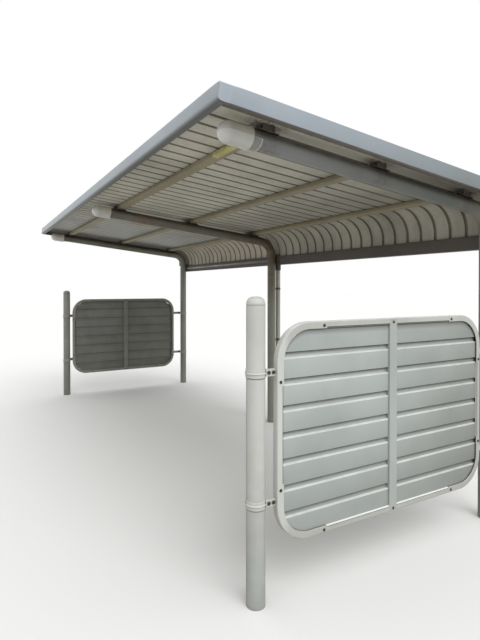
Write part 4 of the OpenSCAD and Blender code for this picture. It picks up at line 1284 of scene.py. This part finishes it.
class SHELTER_OT_clamps(bpy.types.Operator):
    """Clamps that hold the panels, and the domed caps of the front posts"""
    bl_idname = "shelter.clamps"
    bl_label = "Clamps and post caps"

    def execute(self, context):
        panel = context.scene.shelter_panel
        outline = PanelOutline(panel)
        for word, side in SIDES.items():
            bm, bolts = bmesh.new(), bmesh.new()
            for z in CLAMP_Z:
                for post_y, edge in ((FRONT_POST_Y, outline.low.x), (POST_Y, outline.high.x)):
                    self.band(panel, bm, Vector((side * BAY, post_y, z)))
                    self.lugs(panel, bm, bolts, side, z + panel.lug_rise, post_y, edge)
            piece(word + "_clamp_bands", bm, clamp_material(), [word + "_panel_clamps"])
            piece(word + "_clamp_bolts", bolts, bolt_material())
            self.dome(word)
        return {"FINISHED"}

    def band(self, panel, bm, base):
        """Ring round a post, with a raised bead along its middle."""
        half, bead, edge = panel.clamp_height / 2, panel.bead / 2, 0.0006
        inner, r, proud = TUBE_R + 0.0003, TUBE_R + panel.clamp_metal, 0.0034
        turns = [math.radians(a) for a in range(-90, 91, 15)]
        profile = [(-half, inner), (-half, r - edge), (edge - half, r),
                   *[(bead * math.sin(t), r + proud * math.cos(t)) for t in turns],
                   (half - edge, r), (half, r - edge), (half, inner)]
        turned(bm, base, UP, profile, 64, hollow=True)

    def lugs(self, panel, bm, bolts, side, z, post_y, edge):
        """Two plates from a post to the panel's frame, with two bolts on each outer face."""
        turn, h, gap, plate_t = 1 if edge > post_y else -1, panel.lug / 2, 0.0006, 0.0034
        low, high = sorted((post_y + turn * 0.030, edge))
        plate = fillet(flat([(low, -h), (high, -h), (high, h), (low, h)]), 0.005, 4, closed=True)
        middle = BAY + panel.lug_out
        outside = plate_t + gap
        for x in (middle - outside, middle + gap):
            skin(bm, [[Vector((side * (x + t), p.x, z + p.y)) for p in plate] for t in (0, plate_t)])
        for reach in (0.044, 0.069):
            for way in (1, -1):
                spot = Vector((side * (middle + way * outside), post_y + turn * reach, z))
                bolt(bolts, spot, Vector((side * way, 0, 0)), across=0.016, height=0.0055)

    def dome(self, word):
        low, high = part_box(word + "_front_post_cap")
        base = Vector(((low.x + high.x) / 2, (low.y + high.y) / 2, low.z))
        r, rim = TUBE_R, 0.0060
        rise = high.z - low.z - rim
        profile = [(0.0, r - 0.003), (0.0008, r - 0.0026), (0.0018, r - 0.0004), (0.0026, r), (0.0055, r)]
        for t in (math.pi / 2 * k / 14 for k in range(15)):
            profile.append((rim + rise * math.sin(t), r * max(math.cos(t), 0.012) ** 0.72))
        bm = bmesh.new()
        turned(bm, base, UP, profile, 64)
        piece(word + "_front_post_dome", bm, front_post_material(),
              [word + "_front_post_cap"])


class SHELTER_OT_fastenings(bpy.types.Operator):
    """Screws, bolts and the tape"""
    bl_idname = "shelter.fastenings"
    bl_label = "Fastenings and tape"

    def execute(self, context):
        roof, panel = context.scene.shelter_roof, context.scene.shelter_panel
        self.panel_screws(panel, PanelOutline(panel))
        self.bracket_bolts(roof)
        self.roof_screws(roof)
        self.tape(roof)
        return {"FINISHED"}

    def panel_screws(self, panel, outline):
        """Screws on both faces: three along the top and the bottom, two up each side."""
        inset, top, bottom = panel.flange / 2, outline.high.y - 0.0205, outline.low.y + 0.0165
        level = [(FRONT_POST_Y + y, z) for y in (0.355, 0.827, 1.30) for z in (top, bottom)]
        upright = [(y, z) for y in (outline.low.x + inset, outline.high.x - inset) for z in (1.03, 0.53)]
        bm = bmesh.new()
        for side in SIDES.values():
            for y, z in level + upright:
                for face, way in ((outline.face, side), (outline.face - panel.depth, -side)):
                    screw(bm, Vector((side * face, y, z)), Vector((way, 0, 0)))
        piece("panel_screws", bm, bolt_material())

    def bracket_bolts(self, roof):
        """A large bolt in the foot and two small ones in the upright leg of each bracket."""
        beside, thick, leg = roof.purlin_width / 2, 0.004, 0.017
        bm = bmesh.new()
        for x in POST_X.values():
            for s in PURLIN_S:
                for way in (-1, 1):
                    foot = slope_point(x, s + way * (beside + leg), TUBE_R + thick)
                    bolt(bm, foot, OFF, across=0.013, height=0.006, washer=0.020)
                    for shift in (-0.018, 0.018):
                        spot = slope_point(x + shift, s + way * (beside + thick), TUBE_R + leg)
                        bolt(bm, spot, ALONG * way, across=0.008, height=0.004, washer=0.012)
        piece("bracket_bolts", bm, bolt_material())

    def roof_screws(self, roof):
        """A screw over each purlin in every other pan, none right beside the roof's edge."""
        bm, clear = bmesh.new(), 0.06
        pans = int((roof.edge - clear) / roof.rib_pitch)
        for side in SIDES.values():
            for k in range(1, pans + 1, 2):
                for s in PURLIN_S:
                    spot = slope_point(side * k * roof.rib_pitch, s, roof.lift + roof.sheet)
                    bolt(bm, spot, OFF, across=0.008, height=0.005, washer=0.016)
        piece("roof_sheet_screws", bm, zinc_material())

    def tape(self, roof):
        """Strip stuck round the front lower edge of a purlin."""
        film, steps = 0.0004, 8
        w = roof.purlin_width / 2 + film
        path = fillet(flat([(-w, 0.022), (-w, -film), (0.002, -film)]), roof.purlin_round, 4)
        section = metal(path, -0.0005)
        places = [BAY - roof.tape_start + roof.tape_length * k / steps for k in range(steps + 1)]
        bm = bmesh.new()
        skin(bm, [[slope_point(x, PURLIN_S[2] + p.x, TUBE_R + p.y) for p in section] for x in places],
             strip=True)
        piece("purlin_tape", bm, tape_material())


class SHELTER_PT_panel(bpy.types.Panel):
    """Steps that build the shelter's looks, and their sizes and colours"""
    bl_label = "Bike shelter"
    bl_idname = "SHELTER_PT_panel"
    bl_space_type = "VIEW_3D"
    bl_region_type = "UI"
    bl_category = "Shelter"

    def draw(self, context):
        for step in STEPS:
            self.layout.operator(step.bl_idname)
        for title in GROUPED:
            box, group = self.layout.box(), getattr(context.scene, title)
            for name in group.__annotations__:
                box.prop(group, name)


STEPS = (SHELTER_OT_stage, SHELTER_OT_frame, SHELTER_OT_roof, SHELTER_OT_trims, SHELTER_OT_caps,
         SHELTER_OT_gutter, SHELTER_OT_panels, SHELTER_OT_clamps, SHELTER_OT_fastenings)
GROUPED = {"shelter_roof": ShelterRoofSizes, "shelter_panel": ShelterPanelSizes,
           "shelter_colours": ShelterColours, "shelter_stains": ShelterStains}


def register():
    for kind in (*GROUPED.values(), *STEPS, SHELTER_PT_panel):
        bpy.utils.register_class(kind)
    for title, kind in GROUPED.items():
        setattr(bpy.types.Scene, title, PointerProperty(type=kind))


def unregister():
    for title in GROUPED:
        delattr(bpy.types.Scene, title)
    for kind in (SHELTER_PT_panel, *reversed(STEPS), *GROUPED.values()):
        bpy.utils.unregister_class(kind)


def main():
    register()
    bpy.ops.shelter.stage()
    bpy.ops.shelter.frame()
    bpy.ops.shelter.roof()
    bpy.ops.shelter.trims()
    bpy.ops.shelter.caps()
    bpy.ops.shelter.gutter()
    bpy.ops.shelter.panels()
    bpy.ops.shelter.clamps()
    bpy.ops.shelter.fastenings()


if __name__ == "__main__":
    main()
